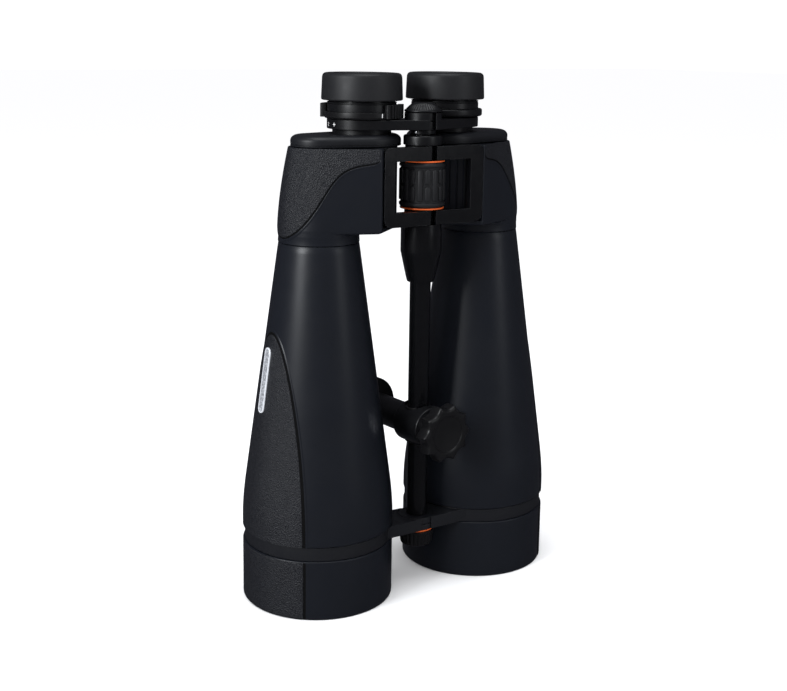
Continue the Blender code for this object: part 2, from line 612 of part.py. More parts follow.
def make_eyecup(side, prefix, sleeve_parent, cup_parent):
    eye = eye_axis(side)
    place(prefix + "eyecup_sleeve", tube(SLEEVE_R, SLEEVE_BORE_R, SLEEVE_Z0, SLEEVE_Z1, eye), black_metal(),
          (*eye, SLEEVE_Z0), sleeve_parent)
    edge = 0.0008
    outline = [(CUP_BORE_R, CUP_Z0), (CUP_LOW_R - edge, CUP_Z0), (CUP_LOW_R, CUP_Z0 + edge)]
    for step in range(4):
        angle = radians(30.0 * step)
        radius = CUP_TOP_R - CUP_ROUNDING * (1 - cos(angle))
        outline.append((radius, CUP_Z1 - CUP_ROUNDING * (1 - sin(angle))))
    outline += [(CUP_MOUTH_R + edge, CUP_Z1), (CUP_MOUTH_R, CUP_Z1 - edge), (CUP_MOUTH_R, CUP_LIP_Z),
                (CUP_BORE_R, CUP_LIP_Z)]
    place(prefix + "eyecup", turned(outline, eye), grip_rubber(), (*eye, CUP_Z0), cup_parent)


# ---------------------------------------------------------------- centre line

def make_centre(root, knob, slider, lock):
    rod = [(0.0, STUD_Z0), (STUD_R, STUD_Z0), (STUD_R, ROD_Z0),
           (ROD_R, ROD_Z0), (ROD_R, ROD_Z1), (0.0, ROD_Z1)]
    place("centre_rod", turned(rod), black_metal(), (0.0, 0.0, STUD_Z0), root)
    bore = ROD_R + GAP
    shroud = [(bore, SHROUD_Z0), (SHROUD_LOW_R - 0.0008, SHROUD_Z0), (SHROUD_LOW_R, SHROUD_TAPER_Z0),
              (SHROUD_R, SHROUD_TAPER_Z1), (SHROUD_R, SHROUD_COLLAR_Z), (SHROUD_COLLAR_R, SHROUD_COLLAR_Z),
              (SHROUD_COLLAR_R, SHROUD_Z1), (bore, SHROUD_Z1)]
    place("shroud", turned(shroud), black_metal(), (0.0, 0.0, SHROUD_Z0), root)
    axle = tube(AXLE_R, AXLE_BORE_R, AXLE_Z0, AXLE_Z1)
    place("hinge_axle", axle, bright_metal(), (0.0, 0.0, AXLE_Z0), root)
    pocket = NECK_R + GAP
    cap = [(AXLE_HOLE_R, AXLE_CAP_Z0), (AXLE_CAP_R, AXLE_CAP_Z0), (AXLE_CAP_R, AXLE_CAP_Z1 - 0.0010),
           (AXLE_CAP_R - 0.0010, AXLE_CAP_Z1), (pocket, AXLE_CAP_Z1), (pocket, NECK_POCKET_Z),
           (AXLE_HOLE_R, NECK_POCKET_Z)]
    place("axle_cap", turned(cap), black_metal(), (0.0, 0.0, AXLE_CAP_Z0), root)
    shaft = [(0.0, SHAFT_Z0), (SHAFT_R, SHAFT_Z0), (SHAFT_R, SHAFT_NECK_Z0), (NECK_R, SHAFT_NECK_Z0),
             (NECK_R, SHAFT_NECK_Z1), (SHAFT_R, SHAFT_NECK_Z1), (SHAFT_R, SHAFT_Z1), (0.0, SHAFT_Z1)]
    place("focus_shaft", turned(shaft), bright_metal(), (0.0, 0.0, SHAFT_Z0), slider)
    dome = [(SHAFT_HOLE_R, HUB_CAP_Z0), (HUB_R, HUB_CAP_Z0), (HUB_R, HUB_CAP_RIM_Z),
            (HUB_CAP_TOP_R, HUB_CAP_Z1), (0.0, HUB_CAP_Z1),
            (0.0, SHAFT_Z1 + GAP), (SHAFT_HOLE_R, SHAFT_Z1 + GAP)]
    place("hub_cap", turned(dome), black_metal(), (0.0, 0.0, HUB_CAP_Z0), slider)

    core = tube(KNOB_CORE_R, AXLE_HOLE_R, KNOB_Z0, KNOB_Z1)
    place("focus_knob", core, black_metal(), (0.0, 0.0, KNOB_Z0), knob)
    sleeve = KNOB_CORE_R + GAP
    low, high = KNOB_Z0 + KNOB_RING_H + GAP, KNOB_Z1 - KNOB_RING_H - GAP
    place("focus_grip", tube(KNOB_R, sleeve, low, high), grip_rubber(), (0.0, 0.0, low), knob)
    for name, z0 in (("focus_ring_lower", KNOB_Z0), ("focus_ring_upper", KNOB_Z1 - KNOB_RING_H)):
        place(name, tube(KNOB_RING_R, sleeve, z0, z0 + KNOB_RING_H), orange_metal(), (0.0, 0.0, z0), knob)

    hole = STUD_R + GAP
    ceiling = STUD_Z0 - GAP
    nut = [(0.0, LOCK_Z0), (LOCK_LOW_R - 0.0015, LOCK_Z0), (LOCK_LOW_R, LOCK_Z0 + 0.0015),
           (LOCK_R, LOCK_Z1 - 0.0015), (LOCK_R, LOCK_Z1), (hole, LOCK_Z1), (hole, ceiling), (0.0, ceiling)]
    place("lock_knob", turned(nut), black_plastic(), (0.0, 0.0, LOCK_Z0), lock)
    ring = tube(LOCK_RING_R, hole, LOCK_RING_Z0, LOCK_RING_Z1)
    place("lock_ring", ring, orange_metal(), (0.0, 0.0, LOCK_RING_Z0), lock)


# ---------------------------------------------------------------- tripod clamp

def clamp_frame():
    """Carries a piece turned about Z onto the clamp's level axis: its height becomes distance backward."""
    return (Matrix.Translation((0.0, 0.0, CLAMP_Z)) @ Matrix.Rotation(CLAMP_TURN, 4, "Z")
            @ Matrix.Rotation(-pi / 2, 4, "X"))


def along_clamp(bm):
    bmesh.ops.transform(bm, matrix=clamp_frame(), verts=bm.verts)
    return outward(bm)


def lobed_section(shrink, height, count=60):
    points = []
    for i in range(count):
        angle = 2 * pi * i / count
        scallop = abs(sin(CLAMP_KNOB_LOBES * angle / 2))
        radius = CLAMP_KNOB_R + CLAMP_KNOB_LOBE * (1 - 2 * scallop) - shrink
        points.append((radius * cos(angle), radius * sin(angle), height))
    return points


def make_tripod_clamp(bush_parent, post_parent, knob_parent):
    origin = (0.0, 0.0, CLAMP_Z)
    bush = tube(BUSH_R, ROD_R + GAP, CLAMP_Z - BUSH_HALF, CLAMP_Z + BUSH_HALF)
    place("clamp_bush", bush, nylon(), origin, bush_parent)

    edge = 0.0008
    hole = SCREW_R + GAP
    post = [(hole, CLAMP_FRONT), (CLAMP_R - edge, CLAMP_FRONT), (CLAMP_R, CLAMP_FRONT + edge),
            (CLAMP_R, CLAMP_BACK - edge), (CLAMP_R - edge, CLAMP_BACK), (POST_R, CLAMP_BACK),
            (POST_R, POST_END), (0.0, POST_END), (0.0, -0.002), (hole, -0.002)]
    body = cut(along_clamp(turned(post)),
               cylinder(BUSH_R + GAP, CLAMP_Z - 2 * CLAMP_R, CLAMP_Z + 2 * CLAMP_R, (0.0, 0.0), MEDIUM))
    place("tripod_post", body, black_metal(), origin, post_parent)

    foot = [(0.0, FOOT_FRONT), (FOOT_R - edge, FOOT_FRONT), (FOOT_R, FOOT_FRONT + edge),
            (FOOT_R, FOOT_BACK - edge), (FOOT_R - edge, FOOT_BACK), (THREAD_R, FOOT_BACK),
            (THREAD_R, FOOT_BACK - THREAD_DEPTH), (0.0, FOOT_BACK - THREAD_DEPTH)]
    place("tripod_foot", along_clamp(turned(foot)), black_metal(), origin, post_parent)

    neck_front = CLAMP_KNOB_BACK + GAP
    screw_end = CLAMP_KNOB_BACK - 0.0044
    screw = [(0.0, screw_end), (SCREW_R, screw_end), (SCREW_R, neck_front), (SCREW_COLLAR_R, neck_front),
             (SCREW_COLLAR_R, CLAMP_FRONT - GAP), (SCREW_R, CLAMP_FRONT - GAP),
             (SCREW_R, SCREW_TIP), (0.0, SCREW_TIP)]
    place("clamp_screw", along_clamp(turned(screw, segments=SMALL)), bright_metal(), origin, knob_parent)

    edge = CLAMP_KNOB_EDGE
    knob = loft([lobed_section(edge, CLAMP_KNOB_BACK), lobed_section(0.0, CLAMP_KNOB_BACK - edge),
                 lobed_section(0.0, CLAMP_KNOB_FRONT + edge), lobed_section(edge, CLAMP_KNOB_FRONT)])
    socket = cylinder(hole, screw_end - GAP, CLAMP_KNOB_BACK + 0.003, segments=SMALL)
    place("clamp_knob", along_clamp(cut(knob, socket)), black_plastic(), origin, knob_parent)


# ---------------------------------------------------------------- assembly

def make_guides():
    """One empty on each joint's axis."""
    right_eye, left_eye = eye_axis(-1.0), eye_axis(1.0)
    guides = {"root": None}
    for name, plan, height in (
        ("right_half", (0.0, 0.0), FRAME_Z0), ("focus_knob_body", (0.0, 0.0), KNOB_Z0),
        ("left_eyepiece", left_eye, ARM_Z0), ("right_eyepiece", right_eye, ARM_Z0),
        ("dioptre_body", right_eye, DIOPTRE_Z0), ("right_ocular", right_eye, OCULAR_Z0),
        ("left_sleeve_body", left_eye, SLEEVE_Z0), ("left_cup_body", left_eye, CUP_Z0),
        ("right_sleeve_body", right_eye, SLEEVE_Z0), ("right_cup_body", right_eye, CUP_Z0),
        ("lock_body", (0.0, 0.0), LOCK_Z0), ("clamp_bush_body", (0.0, 0.0), CLAMP_Z),
        ("clamp_body", (0.0, 0.0), CLAMP_Z), ("clamp_knob_body", (0.0, 0.0), CLAMP_Z),
    ):
        guides[name] = empty(name, plan, height)
    return guides


def main():
    for obj in list(bpy.data.objects):
        bpy.data.objects.remove(obj)
    guides = make_guides()
    for name, side in SIDES:
        prefix = name + "_"
        half = guides["right_half"] if side < 0 else None
        for make in (make_hood, make_barrel, make_badge, make_bridge_ring, make_objective, make_prism_housing,
                     make_prism_cover, make_prisms, make_bridge_frame):
            make(side, prefix, half)
        make_eyepiece_arm(side, prefix, guides[prefix + "eyepiece"])
        make_ocular(side, prefix, guides["right_ocular"] if side < 0 else guides["left_eyepiece"])
        make_eyecup(side, prefix, guides[prefix + "sleeve_body"], guides[prefix + "cup_body"])
    make_dioptre_ring(guides["dioptre_body"])
    make_centre(None, guides["focus_knob_body"], guides["left_eyepiece"], guides["lock_body"])
    make_tripod_clamp(guides["clamp_bush_body"], guides["clamp_body"], guides["clamp_knob_body"])


main()
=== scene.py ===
"""The finished look of the astronomy binoculars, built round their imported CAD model.

Everything is in metres.  Plan positions are measured from the hinge line between the two halves, and
HINGE carries them into the row's frame.  "right" is the user's, at -X; -Y is the side with the focus wheel.
"""

import json
from math import atan2, ceil, cos, degrees, exp, hypot, pi, radians, sin, sqrt, tan

import bmesh
import bpy
import numpy as np
from mathutils import Matrix, Vector


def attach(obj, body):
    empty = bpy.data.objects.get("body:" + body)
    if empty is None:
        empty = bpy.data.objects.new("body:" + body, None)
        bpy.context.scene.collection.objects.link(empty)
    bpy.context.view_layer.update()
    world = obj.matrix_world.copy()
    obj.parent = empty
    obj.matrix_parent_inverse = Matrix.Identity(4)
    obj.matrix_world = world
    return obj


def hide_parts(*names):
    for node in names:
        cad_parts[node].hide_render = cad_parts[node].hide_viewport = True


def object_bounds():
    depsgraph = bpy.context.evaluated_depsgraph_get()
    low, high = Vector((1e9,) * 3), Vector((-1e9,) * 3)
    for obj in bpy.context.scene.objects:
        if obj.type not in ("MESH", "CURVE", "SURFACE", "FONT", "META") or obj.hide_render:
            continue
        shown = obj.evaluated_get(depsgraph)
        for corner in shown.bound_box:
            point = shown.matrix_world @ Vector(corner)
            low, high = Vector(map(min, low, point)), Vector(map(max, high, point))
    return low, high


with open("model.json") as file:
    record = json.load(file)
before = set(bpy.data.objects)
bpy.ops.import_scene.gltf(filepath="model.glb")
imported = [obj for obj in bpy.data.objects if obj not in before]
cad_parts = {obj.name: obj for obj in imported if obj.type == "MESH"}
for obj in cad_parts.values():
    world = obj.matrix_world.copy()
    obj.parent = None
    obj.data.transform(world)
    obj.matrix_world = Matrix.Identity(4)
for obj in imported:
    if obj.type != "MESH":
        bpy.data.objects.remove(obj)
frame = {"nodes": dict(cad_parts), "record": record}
CAD_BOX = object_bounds()

JOINTS = {joint["name"]: joint for joint in frame["record"]["behaviour"]["joints"]}
HINGE = Vector((0.0, JOINTS["fold"]["pos_m"][1], 0.0))
SIDES = (("right", -1.0), ("left", 1.0))
MM = 0.001


# ---------------------------------------------------------------- sizes, in step with the CAD

BARREL_X, BARREL_Y = 0.0592, 0.0208
EYE_X, EYE_Y = 0.03015, 0.0204
HOOD_R, HOOD_BORE_R, HOOD_TOP = 0.0462, 0.0434, 0.0363
BAND_R, BAND_BORE_R, BAND_Z0, BAND_Z1 = 0.0450, 0.0430, 0.0366, 0.0448
BARREL_Z0, BARREL_Z1 = 0.0451, 0.2191
BARREL_R, BARREL_NECK_R, BARREL_STRAIGHT_TOP, BARREL_CONE_BASE = 0.0460, 0.0242, 0.0520, 0.0770
CONE_SLOPE = 0.1377
HOUSING_Z0, HOUSING_Z1, HOUSING_NECK_Z = 0.2258, 0.2749, 0.2194
HOUSING_TOP_R, HOUSING_LOW_R, HOUSING_EYE_R = 0.0177, 0.0242, 0.0214
FRONT_CORNER, FRAME_SEAT = (0.0370, -0.0104, 0.0020), (0.0303, -0.0033, 0.0032)
COVER_Z0, COVER_RIM_Z, COVER_Z1 = 0.2752, 0.2784, 0.2820
COVER_R, COVER_EYE_R, COVER_ROUNDING = 0.0168, 0.0235, 0.0046
FRAME_W, FRAME_WINDOW_W = {-1.0: 0.0347, 1.0: 0.0360}, {-1.0: 0.0276, 1.0: 0.0269}
FRAME_SLOT, FRAME_LOW_CORNER_R, FRAME_TOP_CORNER_R = 0.0020, 0.0062, 0.0042
FRAME_FRONT, FRAME_BACK = -0.0126, -0.0070
FRAME_Z0, FRAME_WINDOW_Z0, FRAME_WINDOW_Z1, FRAME_Z1 = 0.2289, 0.2372, 0.2674, 0.2754
ARM_Z0, ARM_Z1, HUB_SPLIT_Z, HUB_Z1 = 0.2848, 0.2906, 0.2897, 0.2947
ARM_RING_R, HUB_R, EYE_R, EYE_CLEAR_R, FRAME_BOSS_R = 0.0208, 0.0113, 0.0086, 0.0091, 0.0105
TUBE_R = 0.0176
DIOPTRE_R, DIOPTRE_BORE_R, DIOPTRE_Z0, DIOPTRE_Z1 = 0.0224, 0.0210, 0.2909, 0.2950
TAB_R, TAB_TOP_Z, TAB_HALF_ANGLE, TAB_ANGLES = 0.0248, 0.2994, 27.0, (-57.0, 123.0)
BRIDGE_EYE_R, BRIDGE_CLEAR_R, BRIDGE_SPLIT_Z, BRIDGE_Z0, BRIDGE_Z1 = 0.0113, 0.0118, 0.04035, 0.0367, 0.0444
KNOB_R, KNOB_CORE_R, KNOB_Z0, KNOB_Z1, KNOB_RING_H = 0.0139, 0.0124, 0.2377, 0.2669, 0.0012
LOCK_R, LOCK_LOW_R, LOCK_Z0, LOCK_Z1 = 0.0110, 0.0099, 0.0254, 0.0350
LOCK_RING_R, LOCK_RING_Z0, LOCK_RING_Z1 = 0.0106, 0.0353, 0.0364
CLAMP_Z, CLAMP_TURN, CLAMP_R = 0.1033, radians(4.0), 0.0127
CLAMP_KNOB_R, CLAMP_KNOB_LOBE, CLAMP_KNOB_LOBES = 0.0166, 0.0013, 10
CLAMP_KNOB_BACK, CLAMP_KNOB_FRONT = -0.0200, -0.0296
BADGE_ANGLE, BADGE_Z, BADGE_LENGTH, BADGE_WIDTH = radians(3.0), 0.1383, 0.0395, 0.0068
CUP_LOW_R, CUP_TOP_R, CUP_Z0, CUP_Z1 = 0.0243, 0.0236, 0.3015, 0.3175
GAP = 0.0003

FINE = 96                       # facets round a smooth turned piece


# ---------------------------------------------------------------- materials

def new_material(name, colour, roughness, metallic=0.0, **sockets):
    """A Principled material; sockets sets further constant inputs by name, with _ for a space."""
    mat = bpy.data.materials.new(name)
    mat.use_nodes = True
    shader = mat.node_tree.nodes["Principled BSDF"]
    shader.inputs["Base Color"].default_value = (*colour, 1.0)
    shader.inputs["Roughness"].default_value = roughness
    shader.inputs["Metallic"].default_value = metallic
    for key, value in sockets.items():
        shader.inputs[key.replace("_", " ")].default_value = value
    return mat


def texture(mat, kind, scale, stretch=(1.0, 1.0, 1.0), **settings):
    """A procedural texture on object coordinates; scale is in cells per metre."""
    nodes, links = mat.node_tree.nodes, mat.node_tree.links
    place = nodes.new("ShaderNodeTexCoord")
    mapping = nodes.new("ShaderNodeMapping")
    mapping.inputs["Scale"].default_value = stretch
    tex = nodes.new("ShaderNodeTex" + kind)
    tex.inputs["Scale"].default_value = scale
    for key, value in settings.items():
        tex.inputs[key.replace("_", " ")].default_value = value
    links.new(place.outputs["Object"], mapping.inputs["Vector"])
    links.new(mapping.outputs["Vector"], tex.inputs["Vector"])
    return tex.outputs["Distance" if kind == "Voronoi" else "Fac"]


def vary(mat, socket, source, low, high):
    """Lets source move a shader input between low and high."""
    nodes, links = mat.node_tree.nodes, mat.node_tree.links
    ramp = nodes.new("ShaderNodeMapRange")
    ramp.inputs["From Min"].default_value = 0.3
    ramp.inputs["From Max"].default_value = 0.7
    ramp.inputs["To Min"].default_value = low
    ramp.inputs["To Max"].default_value = high
    links.new(source, ramp.inputs["Value"])
    links.new(ramp.outputs["Result"], nodes["Principled BSDF"].inputs[socket])


def tint(mat, source, dark, light):
    """Lets source mix the base colour between two colours."""
    nodes, links = mat.node_tree.nodes, mat.node_tree.links
    mix = nodes.new("ShaderNodeMix")
    mix.data_type = "RGBA"
    mix.inputs["A"].default_value = (*dark, 1.0)
    mix.inputs["B"].default_value = (*light, 1.0)
    links.new(source, mix.inputs["Factor"])
    links.new(mix.outputs["Result"], nodes["Principled BSDF"].inputs["Base Color"])


def emboss(mat, source, height, strength=1.0):
    """Adds a bump of that height in metres, on top of any bump the material has."""
    nodes, links = mat.node_tree.nodes, mat.node_tree.links
    shader = nodes["Principled BSDF"]
    bump = nodes.new("ShaderNodeBump")
    bump.inputs["Strength"].default_value = strength
    bump.inputs["Distance"].default_value = height
    links.new(source, bump.inputs["Height"])
    if shader.inputs["Normal"].is_linked:
        links.new(shader.inputs["Normal"].links[0].from_socket, bump.inputs["Normal"])
    links.new(bump.outputs["Normal"], shader.inputs["Normal"])


def surface(name, dark, light, rough, scales, bump, metallic=0.0, stretch=(1.0, 1.0, 1.0), **sockets):
    """A finish whose colour and roughness wander between two values each, over a fine bump.

    scales holds the cells per metre of the roughness, the colour and the bump, and bump its height in mm
    and its strength.
    """
    middle = [(a + b) / 2 for a, b in zip(dark, light)]
    mat = new_material(name, middle, sum(rough) / 2, metallic, **sockets)
    vary(mat, "Roughness", texture(mat, "Noise", scales[0], stretch, Detail=3.0), *rough)
    tint(mat, texture(mat, "Noise", scales[1], Detail=3.0), dark, light)
    emboss(mat, texture(mat, "Noise", scales[2], stretch, Detail=2.0), bump[0] * MM, bump[1])
    return mat


def cellular(name, scale, dark, light, rough, rough_scale, bump, metallic=0.0, **sockets):
    """A finish of small domed cells, each paler towards its middle or its edge."""
    mat = new_material(name, dark, sum(rough) / 2, metallic, **sockets)
    vary(mat, "Roughness", texture(mat, "Noise", rough_scale, Detail=3.0), *rough)
    cells = texture(mat, "Voronoi", scale)
    tint(mat, cells, dark, light)
    emboss(mat, cells, bump[0] * MM, bump[1])
    return mat


def smooth_armour():
    """Satin moulded rubber: near-black, a little blue, with a very fine skin."""
    return surface("smooth_armour", (0.0048, 0.0059, 0.0090), (0.0060, 0.0073, 0.0110), (0.33, 0.39),
                   (70.0, 45.0, 2600.0), (0.02, 0.35), Specular_IOR_Level=0.35)


def pebbled_armour():
    """The same rubber with a leathery grain of about 0.7 mm."""
    mat = cellular("pebbled_armour", 1500.0, (0.0130, 0.0140, 0.0180), (0.0030, 0.0036, 0.0056),
                   (0.38, 0.52), 300.0, (0.36, 1.0), Specular_IOR_Level=0.40)
    emboss(mat, texture(mat, "Noise", 2400.0, Detail=2.0), 0.10 * MM, 0.6)
    return mat


def cup_rubber():
    """Soft matt rubber of the eyecups and the focus grip."""
    return surface("cup_rubber", (0.0080, 0.0083, 0.0098), (0.0098, 0.0101, 0.0118), (0.45, 0.56),
                   (120.0, 80.0, 3000.0), (0.03, 0.4), Specular_IOR_Level=0.40)


def painted_groove_shade():
    """Painted shade: a dull near-black strip laid on the rubber where the grooves between panels fall into
    shadow.
    """
    return surface("painted_groove_shade", (0.0013, 0.0013, 0.0015), (0.0017, 0.0017, 0.0019), (0.80, 0.90),
                   (300.0, 100.0, 2500.0), (0.02, 0.3), Specular_IOR_Level=0.15)


def satin_metal():
    """Black-painted aluminium castings and turned parts."""
    return surface("satin_metal", (0.0030, 0.0032, 0.0040), (0.0038, 0.0040, 0.0049), (0.32, 0.41),
                   (160.0, 60.0, 1800.0), (0.02, 0.3), Specular_IOR_Level=0.42)


def gloss_metal():
    """Polished black lacquer of the body bridge, the centre rod and its shroud."""
    return surface("gloss_metal", (0.0018, 0.0019, 0.0023), (0.0026, 0.0027, 0.0033), (0.18, 0.25),
                   (160.0, 60.0, 1800.0), (0.01, 0.3), Specular_IOR_Level=0.50)


def painted_edge_highlight():
    """Painted highlight: a pale, glossier finish on the lacquer's bevelled edges, standing in for the light
    they catch.
    """
    return surface("painted_edge_highlight", (0.060, 0.061, 0.066), (0.170, 0.172, 0.180), (0.20, 0.34),
                   (600.0, 90.0, 1800.0), (0.01, 0.3), 0.40)


def satin_paint():
    """Satin paint of the prism covers and the lower bridge, close to the rubber's colour."""
    return surface("satin_paint", (0.0060, 0.0066, 0.0087), (0.0072, 0.0078, 0.0102), (0.38, 0.48),
                   (140.0, 50.0, 2200.0), (0.02, 0.4), Specular_IOR_Level=0.38)


def knob_plastic():
    """Moulded black plastic of the knobs and the dioptre ring."""
    return surface("knob_plastic", (0.0038, 0.0038, 0.0044), (0.0052, 0.0052, 0.0058), (0.31, 0.42),
                   (240.0, 100.0, 2200.0), (0.03, 0.4), Specular_IOR_Level=0.34)


def bush_nylon():
    return surface("bush_nylon", (0.0056, 0.0056, 0.0062), (0.0064, 0.0064, 0.0070), (0.38, 0.52),
                   (300.0, 100.0, 2000.0), (0.02, 0.3), Specular_IOR_Level=0.40)


def orange_anodised():
    """Anodised rings, with fine turning lines."""
    return surface("orange_anodised", (0.70, 0.11, 0.02), (0.82, 0.15, 0.035), (0.28, 0.40),
                   (900.0, 120.0, 1500.0), (0.01, 0.3), 0.45, (1.0, 1.0, 12.0))


def bright_steel():
    """Bare turned steel."""
    return surface("bright_steel", (0.58, 0.59, 0.61), (0.62, 0.63, 0.65), (0.17, 0.30),
                   (700.0, 90.0, 1600.0), (0.01, 0.3), 1.0, (1.0, 1.0, 14.0))


def badge_metal():
    """Pale satin metal, half diffuse, so that it stays bright wherever the lamps are."""
    return surface("badge_metal", (0.60, 0.62, 0.66), (0.72, 0.74, 0.78), (0.30, 0.44),
                   (500.0, 260.0, 1500.0), (0.03, 0.5), 0.30)


def badge_field():
    """The badge's sunk middle, hammered and darker."""
    return cellular("badge_field", 900.0, (0.07, 0.075, 0.085), (0.62, 0.64, 0.68), (0.36, 0.50), 500.0,
                    (0.20, 0.7), 0.40)


def white_paint():
    return surface("white_paint", (0.78, 0.78, 0.78), (0.82, 0.82, 0.82), (0.42, 0.58),
                   (800.0, 200.0, 4000.0), (0.01, 0.3))


def coated_glass(name, film):
    """Optical glass with an anti-reflection film of that thickness in nanometres."""
    mat = new_material(name, (0.92, 0.97, 0.95), 0.02, Transmission_Weight=1.0, IOR=1.52,
                       Thin_Film_Thickness=film, Thin_Film_IOR=1.38)
    vary(mat, "Roughness", texture(mat, "Noise", 40.0, Detail=2.0), 0.01, 0.03)
    return mat


# GROOVE_SHADE is the painted shade for the grooves round the rubber panels.
ARMOUR, PEBBLED, CUP, GROOVE_SHADE = smooth_armour(), pebbled_armour(), cup_rubber(), painted_groove_shade()
# EDGE_HIGHLIGHT is the painted highlight for the frame's bevelled edges.
METAL, GLOSS, EDGE_HIGHLIGHT, PAINTED = satin_metal(), gloss_metal(), painted_edge_highlight(), satin_paint()
PLASTIC, NYLON, ORANGE, STEEL = knob_plastic(), bush_nylon(), orange_anodised(), bright_steel()
BADGE, HAMMERED, WHITE = badge_metal(), badge_field(), white_paint()
OBJECTIVE_GLASS, EYE_GLASS = coated_glass("objective_glass", 130.0), coated_glass("eye_glass", 110.0)

SLOTS = {"armour_rubber": (ARMOUR, PEBBLED, GROOVE_SHADE), "grip_rubber": (CUP,),
         "black_metal": (METAL, GLOSS, PAINTED, WHITE), "black_plastic": (PLASTIC,),
         "orange_metal": (ORANGE,), "bright_metal": (STEEL, BADGE, HAMMERED), "nylon": (NYLON,),
         "glass": (OBJECTIVE_GLASS, EYE_GLASS)}
SLOT_OF = {mat: slot for slot, mats in SLOTS.items() for mat in mats}


# ---------------------------------------------------------------- mesh helpers

def rounded(corners, steps=5):
    """Rounds the corners (a, b, radius) of a closed outline; a corner with no radius stays sharp."""
    points = []
    for i, (a, b, *radius) in enumerate(corners):
        here = Vector((a, b))
        if not radius or radius[0] == 0.0:
            points.append(here)
            continue
        before = Vector(corners[i - 1][:2]) - here
        after = Vector(corners[(i + 1) % len(corners)][:2]) - here
        reach = min(radius[0] / tan(before.angle(after) / 2), 0.45 * before.length, 0.45 * after.length)
        start, end = here + before.normalized() * reach, here + after.normalized() * reach
        for k in range(steps + 1):
            t = k / steps
            points.append(start * (1 - t) ** 2 + here * 2 * t * (1 - t) + end * t ** 2)
    return [tuple(p) for p in points]


def mm(corners):
    """Turns corners given in millimetres into metres."""
    return [tuple(value * MM for value in corner) for corner in corners]


def skin(rows, looped=True, closed=False, caps=False):
    """A mesh through rows of points: looped joins each row's ends, closed joins the last row to the first."""
    width = len(rows[0])
    verts = [tuple(p) for row in rows for p in row]
    faces = []
    for r in range(len(rows) if closed else len(rows) - 1):
        low, high = r * width, ((r + 1) % len(rows)) * width
        for c in range(width if looped else width - 1):
            d = (c + 1) % width
            faces.append((low + c, low + d, high + d, high + c))
    if caps:
        faces += [tuple(reversed(range(width))), tuple(range(len(verts) - width, len(verts)))]
    return verts, faces


def solid(name, shape, outward=None):
    """A welded mesh whose faces turn outward: away from that point, or so as to hold a volume."""
    mesh = bpy.data.meshes.new(name)
    mesh.from_pydata(shape[0], [], shape[1])
    bm = bmesh.new()
    bm.from_mesh(mesh)
    bmesh.ops.remove_doubles(bm, verts=bm.verts, dist=1e-6)
    bmesh.ops.recalc_face_normals(bm, faces=bm.faces)
    if outward is None:
        facing = bm.calc_volume(signed=True)
    else:
        facing = sum(f.calc_area() * f.normal.dot(f.calc_center_median() - Vector(outward)) for f in bm.faces)
    if facing < 0:
        bmesh.ops.reverse_faces(bm, faces=bm.faces)
    bm.to_mesh(mesh)
    bm.free()
    return mesh


def add(name, data):
    """Puts an object with its origin on the hinge line in the scene."""
    obj = bpy.data.objects.new(name, data)
    obj.location = HINGE
    bpy.context.scene.collection.objects.link(obj)
    return obj


def piece(name, shape, body, mat, nodes=(), sharp=35.0, bevel=0.0, outward=None):
    """Makes an object of the mesh, rides it on its body and lets it stand for its CAD nodes."""
    mesh = solid(name, shape, outward)
    mesh.shade_smooth()
    mesh.set_sharp_from_angle(angle=radians(sharp))
    mesh.materials.append(mat)
    obj = add(name, mesh)
    if bevel:
        soften(obj, bevel)
    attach(obj, body)
    if nodes:
        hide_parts(*nodes)
    return obj


def soften(obj, width, angle=40.0, segments=3):
    """Bevels the object's sharp edges."""
    modifier = obj.modifiers.new("edges", "BEVEL")
    modifier.width = width
    modifier.segments = segments
    modifier.limit_method = "ANGLE"
    modifier.angle_limit = radians(angle)
    modifier.harden_normals = True


def at(centre, radius, angle):
    """The plan point at that distance and angle from centre."""
    return centre[0] + radius * cos(angle), centre[1] + radius * sin(angle)


def around(centre, radius, z, segments=FINE):
    """A level ring of points."""
    return [(*at(centre, radius, 2 * pi * i / segments), z) for i in range(segments)]


def lathe(outline, centre=(0.0, 0.0), segments=FINE):
    """Spins a closed outline of (radius, height) about the vertical through centre."""
    return skin([around(centre, radius, z, segments) for radius, z in outline], closed=True)


def carved(stations, count, place):
    """Rows round the hinge line, where place(angle, *station) gives a point's radius and height."""
    rows = []
    for station in stations:
        row = []
        for i in range(count):
            angle = 2 * pi * i / count
            radius, z = place(angle, *station)
            row.append((radius * cos(angle), radius * sin(angle), z))
        rows.append(row)
    return rows


def turned(name, corners, body, mat, nodes=(), centre=(0.0, 0.0), sharp=35.0, segments=FINE):
    """A turned piece whose outline's corners are (radius, height, rounding)."""
    return piece(name, lathe(rounded(corners), centre, segments), body, mat, nodes, sharp)


def ring(name, radius, bore, z0, z1, body, mat, nodes=(), centre=(0.0, 0.0), edge=0.0003):
    corners = [(bore, z0), (radius, z0, edge), (radius, z1, edge), (bore, z1)]
    return turned(name, corners, body, mat, nodes, centre)


def arc(centre, radius, start, end, count):
    """Points on an arc, its angles in degrees."""
    return [at(centre, radius, radians(start + (end - start) * i / count)) for i in range(count + 1)]


def prism(outline, z0, z1):
    """An upright solid on a plan outline."""
    return skin([[(x, y, z) for x, y in outline] for z in (z0, z1)], caps=True)


def moved(shape, matrix):
    return [tuple(matrix @ Vector(v)) for v in shape[0]], shape[1]


def hull_outline(circles, count=FINE):
    """The convex outline round circles of (x, y, radius)."""
    points = []
    for i in range(count):
        way = (cos(2 * pi * i / count), sin(2 * pi * i / count))
        x, y, radius = max(circles, key=lambda c: c[0] * way[0] + c[1] * way[1] + c[2])
        points.append((x + radius * way[0], y + radius * way[1]))
    return points


def mirrored(points, side):
    return [(side * x, *rest) for x, *rest in points]


def barrel_axis(side):
    return (side * BARREL_X, BARREL_Y)


def eye_axis(side):
    return (side * EYE_X, EYE_Y)
